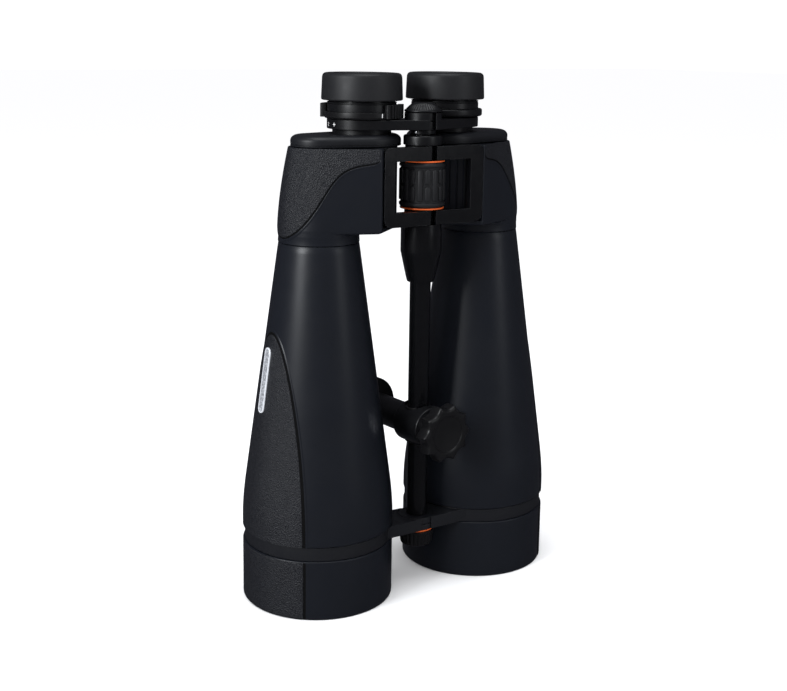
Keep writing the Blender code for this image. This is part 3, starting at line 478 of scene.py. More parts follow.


# ---------------------------------------------------------------- relief: raised panels and lips, and grooves of painted shade

PANEL_LIFT = 0.45 * MM
SKIN_INSET = 0.2 * MM           # how far the smooth armour lies inside the CAD's skin
PANEL_EDGE = ((0.0, -0.30), (0.0, 0.16), (0.10, 0.32), (0.28, 0.42), (0.70, 0.45))     # (inset, lift) in mm
BARREL_GROOVE, HOUSING_GROOVE = 1.5, 0.8        # widths in mm
LIP = ((0.0, -0.30), (0.12, 0.16), (0.40, 0.30), (0.95, 0.20), (1.70, -0.10))     # (distance, lift) in mm
ARCH_HALF, ARCH_RISE, ARCH_MEAN_R = radians(48.5), 0.1207, 0.040     # the barrel panel: half spread, height


def panel_stops(length, count):
    """Places across a panel of that length, as (distance, lift), crowded at its two edges."""
    room = min(1.0, length / (3.0 * PANEL_EDGE[-1][0] * MM))
    edge = [(d * MM * room, lift * MM) for d, lift in PANEL_EDGE]
    inner = edge[-1][0]
    middle = [(inner + (length - 2 * inner) * i / count, PANEL_LIFT) for i in range(1, count)]
    return edge + middle + [(length - d, lift) for d, lift in reversed(edge)]


def edge_lift(distance):
    """The panel's height at that distance in mm from its edge."""
    return np.interp(distance, [d for d, _ in PANEL_EDGE[1:]], [lift for _, lift in PANEL_EDGE[1:]]) * MM


def make_border(name, width, place, body, outward):
    """The groove round a panel and the lip beyond it; place(distance, lift) gives a row of points. The groove
    is a flat strip of painted shade just above the skin.
    """
    lip = [(width + d, lift) for d, lift in LIP]
    for kind, mat, profile in (("groove", GROOVE_SHADE, ((0.0, 0.03), (width, 0.03))), ("lip", ARMOUR, lip)):
        rows = [place(d * MM, lift * MM) for d, lift in profile]
        piece(name + kind, skin(rows, looped=False), body, mat, outward=outward, sharp=60)


def facing_angle(side, turn):
    """Angle about a barrel's axis, where turn is measured from straight outward towards the front."""
    return pi + turn if side < 0 else -turn


def barrel_radius(z):
    """The cone's radius, which eases into the straight foot."""
    cone = BARREL_NECK_R + CONE_SLOPE * (BARREL_Z1 - z)
    if z >= BARREL_CONE_BASE:
        return cone
    t = max(0.0, (z - BARREL_STRAIGHT_TOP) / (BARREL_CONE_BASE - BARREL_STRAIGHT_TOP))
    edge = BARREL_NECK_R + CONE_SLOPE * (BARREL_Z1 - BARREL_CONE_BASE)
    return BARREL_R - (BARREL_R - edge) * t ** 1.6


def on_barrel(side, turn, z, lift):
    radius = barrel_radius(z) - SKIN_INSET + lift
    return (*at(barrel_axis(side), radius, facing_angle(side, turn)), z)


def arch_curve(t, away):
    """A point on the arch, t from 0 at its front foot to pi at its back foot, moved outward by away."""
    half = ARCH_HALF * ARCH_MEAN_R
    out_x, out_z = ARCH_RISE * cos(t), half * sin(t)
    size = hypot(out_x, out_z)
    x, z = half * cos(t) + out_x / size * away, ARCH_RISE * sin(t) + out_z / size * away
    return x / ARCH_MEAN_R, BARREL_Z0 + z


def make_barrel_armour(side, prefix, body):
    """The cone's smooth armour, and the pebbled panel under its arch."""
    axis = barrel_axis(side)
    stops = [BARREL_Z0 + (BARREL_Z1 - BARREL_Z0) * (i / 40) for i in range(1, 40)]
    low, high = barrel_radius(BARREL_Z0) - SKIN_INSET, barrel_radius(BARREL_Z1) - SKIN_INSET
    outline = [(low - 3 * MM, BARREL_Z0), (low - 0.5 * MM, BARREL_Z0), (low, BARREL_Z0 + 0.5 * MM)]
    outline += [(barrel_radius(z) - SKIN_INSET, z) for z in stops]
    outline += [(high, BARREL_Z1 - 0.3 * MM), (high - 0.25 * MM, BARREL_Z1), (high - 2 * MM, BARREL_Z1)]
    inner = [(min(barrel_radius(z) - 2.6 * MM, HOOD_BORE_R), z) for z in reversed(stops)]
    piece(prefix + "barrel_armour", lathe(outline + inner, axis, 128), body, ARMOUR,
          [prefix + "objective_barrel"], 40)

    rows = []
    for k in range(41):
        t = pi / 2 * k / 40
        z = BARREL_Z0 + ARCH_RISE * sin(t)
        half = ARCH_HALF * cos(t)
        radius = barrel_radius(z)
        cap = edge_lift(ARCH_RISE * (1 - sin(t)) / MM)
        rows.append([on_barrel(side, -half + d / radius, z, min(lift, cap))
                     for d, lift in panel_stops(2 * half * radius, 26)])
    middle = (*axis, 0.10)
    piece(prefix + "barrel_panel", skin(rows, looped=False), body, PEBBLED, outward=middle, sharp=50)

    def border(away, lift):
        return [on_barrel(side, *arch_curve(pi * i / 120, away), lift) for i in range(121)]

    make_border(prefix + "barrel_", BARREL_GROOVE, border, body, middle)


def make_hood(side, prefix, body):
    """The rim that the object stands on, which carries the barrel panel down to the floor."""
    axis = barrel_axis(side)
    base = HOOD_R - 0.45 * MM
    corners = [(HOOD_BORE_R, 0.0, 0.3 * MM), (base, 0.0, 1.0 * MM), (base, HOOD_TOP, 0.9 * MM),
               (HOOD_BORE_R, HOOD_TOP)]
    turned(prefix + "hood_rim", corners, body, ARMOUR, [prefix + "hood"], axis, segments=128)
    half, z0, z1 = radians(49.0), 0.9 * MM, HOOD_TOP - 0.6 * MM
    rows = []
    for dz, lift_z in panel_stops(z1 - z0, 8):
        rows.append([(*at(axis, base + min(lift, lift_z), facing_angle(side, -half + d / base)), z0 + dz)
                     for d, lift in panel_stops(2 * half * base, 30)])
    middle = (*axis, HOOD_TOP / 2)
    piece(prefix + "hood_panel", skin(rows, looped=False), body, PEBBLED, outward=middle, sharp=50)
    # Painted shade: dark strips at the panel's two ends stand for the shadow in its grooves.
    for tag, end in (("back", -1.0), ("front", 1.0)):
        spots = [at(axis, base + 0.03 * MM, facing_angle(side, end * (half + away / base)))
                 for away in (0.0, BARREL_GROOVE * MM)]
        rows = [[(*spot, z) for z in (z0, z1)] for spot in spots]
        piece(prefix + "hood_groove_" + tag, skin(rows, looped=False), body, GROOVE_SHADE, outward=middle)


def make_badge(side, prefix, body):
    """A bright oval plate with a raised rim round a hammered field, lying along the cone."""
    lean = atan2(CONE_SLOPE, 1.0)
    angle = pi - BADGE_ANGLE if side < 0 else BADGE_ANGLE
    radius = barrel_radius(BADGE_Z)
    out = Vector((cos(angle) * cos(lean), sin(angle) * cos(lean), sin(lean)))
    up = Vector((-cos(angle) * sin(lean), -sin(angle) * sin(lean), cos(lean)))
    across = up.cross(out)
    base = Vector((*barrel_axis(side), BADGE_Z)) + Vector((cos(angle), sin(angle), 0.0)) * radius
    half = BADGE_WIDTH / 2
    reach = BADGE_LENGTH / 2 - half

    def loop(inset, level):
        points = []
        for u, v in hull_outline([(0.0, reach, half - inset * MM), (0.0, -reach, half - inset * MM)], 64):
            drop = radius - sqrt(radius ** 2 - u ** 2)
            points.append(base + across * u + up * v + out * (level * MM - drop))
        return points

    rim = [loop(0.0, 0.0), loop(0.0, 0.75), loop(0.12, 0.95), loop(0.35, 1.0), loop(0.65, 1.0),
           loop(0.8, 0.7)]
    piece(prefix + "badge_plate", skin(rim, caps=True), body, BADGE, [prefix + "badge"], 50)
    field = [loop(0.8, 0.74), loop(1.6, 0.82), loop(2.6, 0.84)]
    piece(prefix + "badge_field", skin(field, caps=True), body, HAMMERED, outward=base - out * MM, sharp=50)


# ---------------------------------------------------------------- prism housings

def housing_side_radius(z):
    """The housing's radius round the objective axis, which narrows towards the top."""
    t = min(1.0, max(0.0, (HOUSING_Z1 - z) / (HOUSING_Z1 - HOUSING_Z0)))
    return HOUSING_TOP_R + (HOUSING_LOW_R - HOUSING_TOP_R) * (1 - (1 - t) ** 1.6)


def housing_polar(z):
    """The +X housing's outline at that height, as sorted (angle, radius) about its objective axis."""
    axis = barrel_axis(1.0)
    circles = [(*axis, housing_side_radius(z)), (*eye_axis(1.0), HOUSING_EYE_R), FRONT_CORNER, FRAME_SEAT]
    outline = hull_outline(circles, 720)
    pairs = []
    for i, start in enumerate(outline):
        end = outline[(i + 1) % len(outline)]
        pieces = max(1, ceil(hypot(end[0] - start[0], end[1] - start[1]) / (0.5 * MM)))
        for k in range(pieces):
            x = start[0] + (end[0] - start[0]) * k / pieces - axis[0]
            y = start[1] + (end[1] - start[1]) * k / pieces - axis[1]
            pairs.append((atan2(y, x), hypot(x, y)))
    return np.array(sorted(pairs)).T


PANEL_REACH, PANEL_END_R = radians(123.0), 0.0385     # the housing panel: half spread, radius at its ends
WAVE_Z, WAVE_RISE, WAVE_CORNER = 0.2200, 0.0490, 0.0026
WAVE_MIDDLE, WAVE_SPREAD, WAVE_FLAT = 61.5, 19.5, 9.0     # in degrees round the objective axis
HEIGHTS = [HOUSING_Z0 + (HOUSING_Z1 - HOUSING_Z0) * i / 24 for i in range(25)]
TURNS = np.linspace(-pi, pi, 1441)
POLAR = np.array([np.interp(TURNS, *housing_polar(z), period=2 * pi) for z in HEIGHTS])
SEAT_Y = FRAME_BACK + GAP


def housing_reach(angle, z, seat_x=None):
    """Distance of the +X housing's skin from its objective axis; seat_x cuts the frame's recess out."""
    place = min(max((z - HOUSING_Z0) / (HOUSING_Z1 - HOUSING_Z0), 0.0), 1.0) * 24
    row = min(int(place), 23)
    spread = [np.interp(angle, TURNS, POLAR[row + k], period=2 * pi) for k in (0, 1)]
    reach = spread[0] + (spread[1] - spread[0]) * (place - row)
    if seat_x and cos(angle) < 0 and sin(angle) < 0:
        reach = min(reach, max((seat_x - BARREL_X) / cos(angle), (SEAT_Y - BARREL_Y) / sin(angle)))
    return reach


def on_housing(side, angle, z, lift=0.0, seat=False, floor=0.0):
    """A point on either housing; angle is about the objective axis of the +X one."""
    reach = max(housing_reach(angle, z, FRAME_W[side] + GAP if seat else None) + lift, floor)
    x, y = at(barrel_axis(1.0), reach, angle)
    return side * x, y, z


def housing_angles(seat_x):
    """Angles about the objective axis, crowded where the outline turns sharply."""
    corner = degrees(atan2(FRAME_FRONT - BARREL_Y, seat_x - BARREL_X))
    inner = degrees(atan2(SEAT_Y - BARREL_Y, seat_x - BARREL_X))
    plain = np.arange(-180.0, 180.0, 2.5)
    near = [corner + d for d in np.arange(-3.0, 8.0, 0.5)]
    walls = [corner + (inner - corner) * k / 6 for k in range(7)] + [inner - 0.4, inner - 1.0]
    return [radians(a) for a in sorted(set(np.round(np.concatenate([plain, near, walls]), 3)))]


def make_housing(side, prefix, body):
    """The housing's armour: a round neck that swells into the outline round both axes, open at the top."""
    angles = housing_angles(FRAME_W[side] + GAP)
    neck = HOUSING_LOW_R - 0.10 * MM
    rows = []

    def add_row(z, radius_at):
        rows.append([(side * x, y, z) for x, y in (at(barrel_axis(1.0), radius_at(a), a) for a in angles)])

    add_row(HOUSING_NECK_Z, lambda a: BARREL_NECK_R - 3.0 * MM)
    add_row(HOUSING_NECK_Z, lambda a: BARREL_NECK_R - 0.3 * MM)
    add_row(HOUSING_NECK_Z + 0.3 * MM, lambda a: BARREL_NECK_R)
    add_row(HOUSING_Z0 - 2.6 * MM, lambda a: neck - 0.1 * MM)
    for spread, drop in ((0.0, 1.8), (0.35, 0.9), (1.0, 0.3), (2.0, 0.0)):
        add_row(HOUSING_Z0 - drop * MM,
                lambda a: min(neck + spread * MM, max(neck, housing_reach(a, HOUSING_Z0) - 1.6 * MM)))
    for inset, rise in ((1.6, 0.0), (0.9, 0.25), (0.4, 0.7), (0.1, 1.3), (0.0, 2.0)):
        rows.append([on_housing(side, a, HOUSING_Z0 + rise * MM, -inset * MM, floor=neck) for a in angles])
    rows.append([on_housing(side, a, FRAME_Z0 - GAP) for a in angles])
    for z in [FRAME_Z0 - GAP] + [0.232 + 0.0042 * i for i in range(10)] + [HOUSING_Z1 - 0.3 * MM]:
        rows.append([on_housing(side, a, z, seat=True) for a in angles])
    for inset in (0.3, 4.0):
        rows.append([on_housing(side, a, HOUSING_Z1, -inset * MM, seat=True) for a in angles])
    centre = (side * (BARREL_X + EYE_X) / 2, EYE_Y, 0.250)
    piece(prefix + "housing_armour", skin(rows), body, ARMOUR, [prefix + "prism_housing"], 40, outward=centre)
    make_housing_panel(side, prefix, body, centre)
    make_inner_ridges(side, prefix, body)
    make_ledge(side, prefix, body)


def make_housing_panel(side, prefix, body, centre):
    """The pebbled panel round the housing's outer side, with its wavy lower border."""
    reach, columns = PANEL_REACH, 150
    turns = [-reach + 2 * reach * i / columns for i in range(columns + 1)]
    ends = [d / PANEL_END_R for d, _ in panel_stops(1.0, 1)[:len(PANEL_EDGE)]]
    turns = sorted(set([-reach + e for e in ends] + turns + [reach - e for e in ends]))
    rows = []
    for turn in turns:
        from_end = (reach - abs(turn)) * PANEL_END_R
        cap = edge_lift(from_end / MM)
        bottom = wave_height(turn, from_end)
        rows.append([on_housing(side, -turn, bottom + d, min(lift, cap))
                     for d, lift in panel_stops(HOUSING_Z1 - bottom, 12)])
    piece(prefix + "housing_panel", skin(rows, looped=False), body, PEBBLED, outward=centre, sharp=50)

    def border(away, lift):
        row = []
        for turn in turns:
            from_end = (reach - abs(turn)) * PANEL_END_R
            rise = wave_height(turn + 0.01, from_end) - wave_height(turn - 0.01, from_end)
            slope = rise / (0.02 * HOUSING_LOW_R)
            z = wave_height(turn, from_end) - away * sqrt(1 + slope ** 2)
            row.append(on_housing(side, -turn, z, lift))
        return row

    make_border(prefix + "housing_", HOUSING_GROOVE, border, body, centre)
    # Painted shade: dark strips at the panel's two ends stand for the shadow in its grooves.
    for tag, end in (("front", -1.0), ("back", 1.0)):
        low = wave_height(reach, 0.0) - 0.2 * MM
        rows = [[on_housing(side, end * (reach + away * MM / PANEL_END_R), z, 0.03 * MM)
                 for z in (low, HOUSING_Z1 - 0.3 * MM)] for away in (-0.05, HOUSING_GROOVE)]
        piece(prefix + "housing_end_groove_" + tag, skin(rows, looped=False), body, GROOVE_SHADE, outward=centre)


def make_inner_ridges(side, prefix, body):
    """Two upright ridges on the housing's inner wall, behind the focus wheel."""
    seat, eye = Vector(FRAME_SEAT[:2]), Vector(eye_axis(1.0))
    apart = eye - seat
    facing = atan2(apart.y, apart.x) + np.arccos((FRAME_SEAT[2] - HOUSING_EYE_R) / apart.length)
    out = Vector((cos(facing), sin(facing)))
    start, end = seat + out * FRAME_SEAT[2], eye + out * HOUSING_EYE_R
    along = (end - start).normalized()
    shapes = []
    for share in (0.22, 0.52):
        foot = start + (end - start) * share
        outline = []
        for u, lift in ((-1.9, -1.0), (-1.9, 0.5), (-1.4, 1.0), (1.4, 1.0), (1.9, 0.5), (1.9, -1.0)):
            spot = foot + along * u * MM + out * lift * MM
            outline.append((side * spot.x, spot.y))
        shapes.append(prism(outline, HOUSING_Z0 + 2.5 * MM, HOUSING_Z1 - 0.6 * MM))
    piece(prefix + "housing_ridges", joined(shapes), body, ARMOUR)


LEDGE = ((38.5, -8.5), (34.5, -5.0), (31.0, -2.5), (50.0, 6.0), (52.0, 1.0))     # its corners in mm


def make_ledge(side, prefix, body):
    """The shelf that closes the housing's front corner, ahead of the cover."""
    outline = mirrored(hull_outline([(x * MM, y * MM, 0.6 * MM) for x, y in LEDGE], 24), side)
    shape = prism(outline, HOUSING_Z1 - 1.5 * MM, HOUSING_Z1 - 0.3 * MM)
    piece(prefix + "housing_ledge", shape, body, ARMOUR)


def wave_height(turn, from_end):
    """Lower edge of the pebbled panel: an S from the barrel's outer side up to the front and back."""
    ease = hypot(degrees(turn), WAVE_FLAT)
    height = WAVE_Z + WAVE_RISE / (1 + exp((WAVE_MIDDLE - ease) / WAVE_SPREAD))
    if from_end < WAVE_CORNER:
        height += WAVE_CORNER - sqrt(max(0.0, WAVE_CORNER ** 2 - (WAVE_CORNER - from_end) ** 2))
    return height


def make_cover(side, prefix, body):
    """The prism cover: a stepped rim, a rounded shoulder and the eyepiece tube's bore."""
    axis, eye = barrel_axis(side), eye_axis(side)
    rim = ((0.4, 1.2), (0.0, 0.5), (0.2, 0.1), (0.5, 0.0), (1.0, 0.0), (1.1, 0.35), (1.4, 0.35), (1.5, 0.05))
    levels = [(COVER_Z0 + rise * MM, inset * MM) for rise, inset in rim]
    for step in range(11):
        turn = pi / 2 * step / 10
        levels.append((COVER_RIM_Z + (COVER_Z1 - COVER_RIM_Z) * sin(turn), COVER_ROUNDING * (1 - cos(turn))))
    rows = []
    for z, inset in levels:
        outline = hull_outline([(*axis, COVER_R - inset), (*eye, COVER_EYE_R - inset)], 144)
        rows.append([(x, y, z) for x, y in outline])
    rows += [around(eye, TUBE_R + GAP, z, 144) for z in (COVER_Z1, COVER_Z0 + 0.4 * MM)]
    piece(prefix + "cover_plate", skin(rows, closed=True), body, PAINTED, [prefix + "prism_cover"], 40)


# ---------------------------------------------------------------- body bridge

def frame_corners(side):
    """The casting's outline in the plane across the window."""
    width, window = FRAME_W[side], FRAME_WINDOW_W[side]
    corners = [(FRAME_SLOT, FRAME_Z0, 0.6 * MM), (width, FRAME_Z0, FRAME_LOW_CORNER_R),
               (width, FRAME_Z1, FRAME_TOP_CORNER_R), (FRAME_SLOT, FRAME_Z1, 0.6 * MM),
               (FRAME_SLOT, FRAME_WINDOW_Z1, 0.4 * MM), (window, FRAME_WINDOW_Z1, 0.9 * MM),
               (window, FRAME_WINDOW_Z0, 0.9 * MM), (FRAME_SLOT, FRAME_WINDOW_Z0, 0.4 * MM)]
    return [(side * x, z) for x, z in rounded(corners, 8)]


def half_disc(side, radius, clear, z0, z1):
    """The part of a hinge boss on this side of the slot, hollowed for the other half's eye."""
    swing = degrees(np.arccos(FRAME_SLOT / radius))
    inner = degrees(np.arccos(FRAME_SLOT / clear))
    outline = arc((0.0, 0.0), radius, -swing, swing, 40) + arc((0.0, 0.0), clear, inner, -inner, 40)
    return prism(mirrored(outline, side), z0, z1)


def make_frame(side, prefix, body):
    """The C-shaped half of the body bridge, with an eye on the hinge line above and below its window."""
    rows = [[(x, y, z) for x, z in frame_corners(side)] for y in (FRAME_FRONT, FRAME_BACK)]
    casting = piece(prefix + "frame_casting", skin(rows, caps=True), body, GLOSS, [prefix + "bridge_frame"],
                    bevel=0.75 * MM)
    # The bevel faces take the painted edge highlight as their second material.
    casting.data.materials.append(EDGE_HIGHLIGHT)
    casting.modifiers["edges"].material = 1
    for level, z0, z1 in (("lower", FRAME_Z0, FRAME_WINDOW_Z0), ("upper", FRAME_WINDOW_Z1, FRAME_Z1)):
        middle = (z0 + z1) / 2
        if side < 0:
            own, foot, head = (z0, middle - GAP / 2), middle - GAP / 2, z1 + MM
        else:
            own, foot, head = (middle + GAP / 2, z1), z0 - MM, middle + GAP / 2
        drill(casting, EYE_CLEAR_R, foot, head)
        boss = half_disc(side, FRAME_BOSS_R, EYE_CLEAR_R, z0, z1)
        piece(prefix + "frame_boss_" + level, boss, body, GLOSS, bevel=0.3 * MM)
        ring(prefix + "frame_eye_" + level, EYE_R, 6.3 * MM, *own, body, METAL)


def drill(obj, radius, z0, z1, centre=(0.0, 0.0), segments=64):
    """Bores an upright round hole in a piece."""
    carve(obj, lathe([(0.0, z0), (radius, z0), (radius, z1), (0.0, z1)], centre, segments))


def carve(obj, cutter):
    """Cuts a closed shape out of a piece, before its bevel."""
    tool = add("cutter", solid("cutter", cutter))
    modifier = obj.modifiers.new("carve", "BOOLEAN")
    modifier.solver = "EXACT"
    modifier.operation = "DIFFERENCE"
    modifier.object = tool
    obj.modifiers.move(len(obj.modifiers) - 1, 0)
    for other in obj.modifiers[1:]:
        other.show_viewport = False
    bpy.context.view_layer.update()
    result = bpy.data.meshes.new_from_object(obj.evaluated_get(bpy.context.evaluated_depsgraph_get()))
    for other in obj.modifiers[1:]:
        other.show_viewport = True
    obj.modifiers.remove(modifier)
    result.shade_smooth()
    result.set_sharp_from_angle(angle=radians(35))
    obj.data = result
    bpy.data.objects.remove(tool)


# ---------------------------------------------------------------- eyepieces

def make_eyepiece(side, prefix, arm_body, ocular_body):
    """The arm from the hub to the eyepiece, with its eye on the hinge line, its tube and its ocular."""
    eye = eye_axis(side)
    swing = degrees(np.arccos(FRAME_SLOT / HUB_R))
    inner = degrees(np.arccos(FRAME_SLOT / EYE_CLEAR_R))
    spots = hull_outline([(*eye_axis(1.0), ARM_RING_R), (0.0, 0.0, HUB_R)], 144)
    half_depth = HUB_R * sin(radians(swing))
    plate = [(FRAME_SLOT, -half_depth)]
    plate += [spot for spot in spots[72:] + spots[:72] if spot[0] >= FRAME_SLOT]
    plate += [(FRAME_SLOT, half_depth)] + arc((0.0, 0.0), EYE_CLEAR_R, inner, -inner, 24)
    arm = piece(prefix + "arm_casting", prism(mirrored(plate, side), ARM_Z0, ARM_Z1), arm_body, METAL,
                [prefix + "eyepiece_arm"], bevel=0.7 * MM)
    drill(arm, TUBE_R + GAP, ARM_Z0 - MM, ARM_Z1 + MM, eye, 96)
    hub = half_disc(side, HUB_R - 0.1 * MM, EYE_CLEAR_R, ARM_Z1 - 0.5 * MM, HUB_Z1)
    piece(prefix + "arm_hub", hub, arm_body, METAL, bevel=0.35 * MM)
    own = (ARM_Z0, HUB_SPLIT_Z - GAP / 2) if side < 0 else (HUB_SPLIT_Z + GAP / 2, HUB_Z1)
    ring(prefix + "arm_eye", EYE_R, 4.3 * MM, *own, arm_body, METAL)
    radii = (EYE_R - 0.5 * MM, EYE_CLEAR_R + 0.3 * MM)
    make_web(side, prefix + "arm_web", radii, (50, 12), own, arm_body, METAL)
    tube = mm([(15.9, 271.0), (17.6, 271.0, 0.3), (17.6, 290.5), (15.9, 290.5)])
    turned(prefix + "tube", tube, arm_body, METAL, [prefix + "eyepiece_tube"], eye)
    make_ocular(side, prefix, eye, ocular_body)


def make_web(side, name, radii, spread, heights, body, mat):
    """The metal that joins a hinge eye to its arm: part of a ring, spread by (degrees, facets) each way."""
    angle, count = spread
    inner = arc((0.0, 0.0), radii[0], angle, -angle, count)
    outer = arc((0.0, 0.0), radii[1], -angle, angle, count)
    piece(name, prism(mirrored(outer + inner, side), *heights), body, mat)


def make_ocular(side, prefix, eye, body):
    """The ocular housing, a stepped drum (beaded on the left one), with its field lens and eye lens."""
    shank, bore, waist = 15.5, 13.2, 20.7
    if side < 0:
        corners = [(shank, 292.4), (waist, 292.4, 0.2)]
    else:
        corners = [(shank, 290.9), (waist, 290.9, 0.2), (23.1, 291.5, 1.6), (23.1, 295.7, 1.6),
                   (waist, 296.0, 0.4)]
    corners = [(bore, 280.0), (shank, 280.0)] + corners + [
        (waist, 299.3, 0.15), (waist - 0.35, 299.6), (waist - 0.35, 299.9), (waist, 300.1, 0.15),
        (waist, 300.6, 0.2), (18.6, 300.6), (18.6, 311.0, 0.5), (bore + 0.8, 311.0, 0.3), (bore, 309.8),
        (bore, 304.0), (12.0, 304.0), (12.0, 303.0), (bore, 303.0)]
    turned(prefix + "ocular_body", mm(corners), body, METAL, [prefix + "ocular_housing"], eye)
    rim = bore - GAP / MM
    field = [(rim * t, 282.0 + 1.6 * t * t) for t in (0.0, 0.2, 0.4, 0.6, 0.8, 1.0)]
    piece(prefix + "field_glass", lathe(mm(field + [(rim, 286.0), (0.0, 286.0)]), eye, 64), body, EYE_GLASS,
          [prefix + "field_lens"])
    dome = [(rim * t, 309.8 - 2.6 * t * t) for t in (1.0, 0.85, 0.7, 0.5, 0.3, 0.0)]
    piece(prefix + "eye_glass", lathe(mm([(0.0, 304.4), (rim, 304.4)] + dome), eye, 64), body, EYE_GLASS,
          [prefix + "eye_lens"])


def make_dioptre_ring(body):
    """The ring under the right ocular, with its two ribbed thumb tabs."""
    eye = eye_axis(-1.0)
    turned("dioptre_band", [(DIOPTRE_BORE_R, DIOPTRE_Z0), (DIOPTRE_R - 0.5 * MM, DIOPTRE_Z0, 0.2 * MM),
                            (DIOPTRE_R, DIOPTRE_Z0 + 0.9 * MM, 0.4 * MM), (DIOPTRE_R, DIOPTRE_Z1, 0.5 * MM),
                            (DIOPTRE_BORE_R, DIOPTRE_Z1)], body, PLASTIC, ["dioptre_ring"], eye)
    ribs, count = 8, 96
    for k, middle in enumerate(TAB_ANGLES):
        outer = []
        for i in range(count + 1):
            turn = -TAB_HALF_ANGLE + 2 * TAB_HALF_ANGLE * i / count
            swell = abs(sin(pi * ribs * i / count)) ** 0.6
            radius = TAB_R - 0.95 * MM * (1 - swell)
            outer.append(at(eye, radius, radians(middle + turn)))
        inner = arc(eye, DIOPTRE_BORE_R + GAP, middle + TAB_HALF_ANGLE, middle - TAB_HALF_ANGLE, 24)
        shape = prism(outer + inner, DIOPTRE_Z0 + 0.4 * MM, TAB_TOP_Z)
        soften(piece(f"dioptre_tab_{k + 1}", shape, body, PLASTIC, sharp=50), 0.25 * MM, 60.0, 2)
    make_marks(eye, body)


def on_ring(eye, radius, angle, z, u, v):
    """A point u along and v above a place on a ring's outer face."""
    return (*at(eye, radius, angle + u / radius), z + v)


def make_marks(eye, ring_body):
    """The dioptre scale's nought and plus on the arm, and the pointer on the ring."""
    radius, z, size = ARM_RING_R + 0.04 * MM, 0.2876, 1.15 * MM
    nought = [[on_ring(eye, radius, radians(168), z, k * 0.72 * size * cos(t), k * size * sin(t))
               for t in [2 * pi * i / 24 for i in range(24)]] for k in (1.0, 0.70)]
    piece("dioptre_nought", skin(nought), "right_eyepiece", WHITE, outward=(*eye, z))
    bar = 0.17 * size
    for name, width, height in (("bar", size, bar), ("post", bar, size)):
        rows = [[on_ring(eye, radius, radians(187), z, u, v) for u in np.linspace(-width, width, 7)]
                for v in (-height, height)]
        piece("dioptre_plus_" + name, skin(rows, looped=False), "right_eyepiece", WHITE, outward=(*eye, z))
    rows = [[on_ring(eye, DIOPTRE_R + 0.03 * MM, radians(-90), 0.2932, u, v) for u in (-0.22 * MM, 0.22 * MM)]
            for v in (-1.1 * MM, 1.1 * MM)]
    piece("dioptre_pointer", skin(rows, looped=False), ring_body, WHITE, outward=(*eye, z))


def make_eyecup(side, prefix, sleeve_body, cup_body):
    eye = eye_axis(side)
    ring(prefix + "sleeve", 20.0 * MM, 18.9 * MM, 0.3022, 0.3120, sleeve_body, METAL,
         [prefix + "eyecup_sleeve"], eye)
    bore, mouth, seat = 20.3 * MM, 17.2 * MM, 0.3132
    corners = [(bore, CUP_Z0), (CUP_LOW_R, CUP_Z0, 1.0 * MM), (CUP_TOP_R, CUP_Z1, 3.4 * MM),
               (mouth, CUP_Z1, 1.8 * MM), (mouth, seat), (bore, seat)]
    turned(prefix + "cup", corners, cup_body, CUP, [prefix + "eyecup"], eye, segments=128)


# ---------------------------------------------------------------- objectives and the lower bridge

def make_objective(side, prefix, body):
    """The cell with its anti-glare ridges, the front lens and the ring that holds it."""
    axis = barrel_axis(side)
    lip, seat, rim = 38.8, 40.6, 40.3
    corners = [(42.7, 24.0, 0.4), (42.7, 58.0), (lip, 58.0), (lip, 43.3), (seat, 43.3)]
    for k in range(5):
        z = 26.2 - 0.5 * k
        corners += [(seat, z), (seat - 0.25, z - 0.25)]
    turned(prefix + "cell_body", mm(corners + [(seat, 24.0)]), body, METAL, [prefix + "objective_cell"], axis)
    front = [(rim * t, 30.0 + 3.2 * t * t) for t in (0.0, 0.2, 0.4, 0.6, 0.8, 0.9, 1.0)]
    back = [(rim, 43.0), (34.9, 43.0), (0.0, 42.0)]
    piece(prefix + "objective_glass", lathe(mm(front + back), axis, 128), body, OBJECTIVE_GLASS,
          [prefix + "objective_lens"])
    collar = [(39.2, 32.9), (39.2, 30.7, 0.5), (rim, 29.9), (rim, 32.9)]
    turned(prefix + "lock_collar", mm(collar), body, METAL, [prefix + "retaining_ring"], axis)


def make_lower_bridge(side, prefix, body):
    """The band round the barrel's foot and the curved arm to the hinge eye under the rod."""
    corners = [(BAND_BORE_R, BAND_Z0), (BAND_R, BAND_Z0, 0.3 * MM), (BAND_R, BAND_Z1, 0.5 * MM),
               (BAND_BORE_R, BAND_Z1)]
    turned(prefix + "band", corners, body, PAINTED, [prefix + "bridge_ring"], barrel_axis(side), segments=128)
    lean = degrees(np.arcsin(BRIDGE_EYE_R / BRIDGE_CLEAR_R))
    arm = arc((0.0, 0.0), BRIDGE_CLEAR_R, lean, -lean, 24) + [(0.0262, -BRIDGE_EYE_R)]
    arm += mm([(29.2, -12.8), (33.0, -11.2), (26.2, 1.0), (23.5, 10.0), (22.5, 18.5), (20.0, 15.0),
               (16.8, 11.9)])
    shape = prism(mirrored(arm, side), BRIDGE_Z0, BRIDGE_Z1)
    piece(prefix + "bridge_arm", shape, body, PAINTED, bevel=0.5 * MM)
    own = (BRIDGE_Z0, BRIDGE_SPLIT_Z - GAP / 2) if side < 0 else (BRIDGE_SPLIT_Z + GAP / 2, BRIDGE_Z1)
    ring(prefix + "bridge_eye", BRIDGE_EYE_R, 4.6 * MM, *own, body, PAINTED, edge=0.4 * MM)
    radii = (10.5 * MM, BRIDGE_CLEAR_R + 0.4 * MM)
    make_web(side, prefix + "bridge_web", radii, (60, 16), own, body, PAINTED)


# ---------------------------------------------------------------- centre line

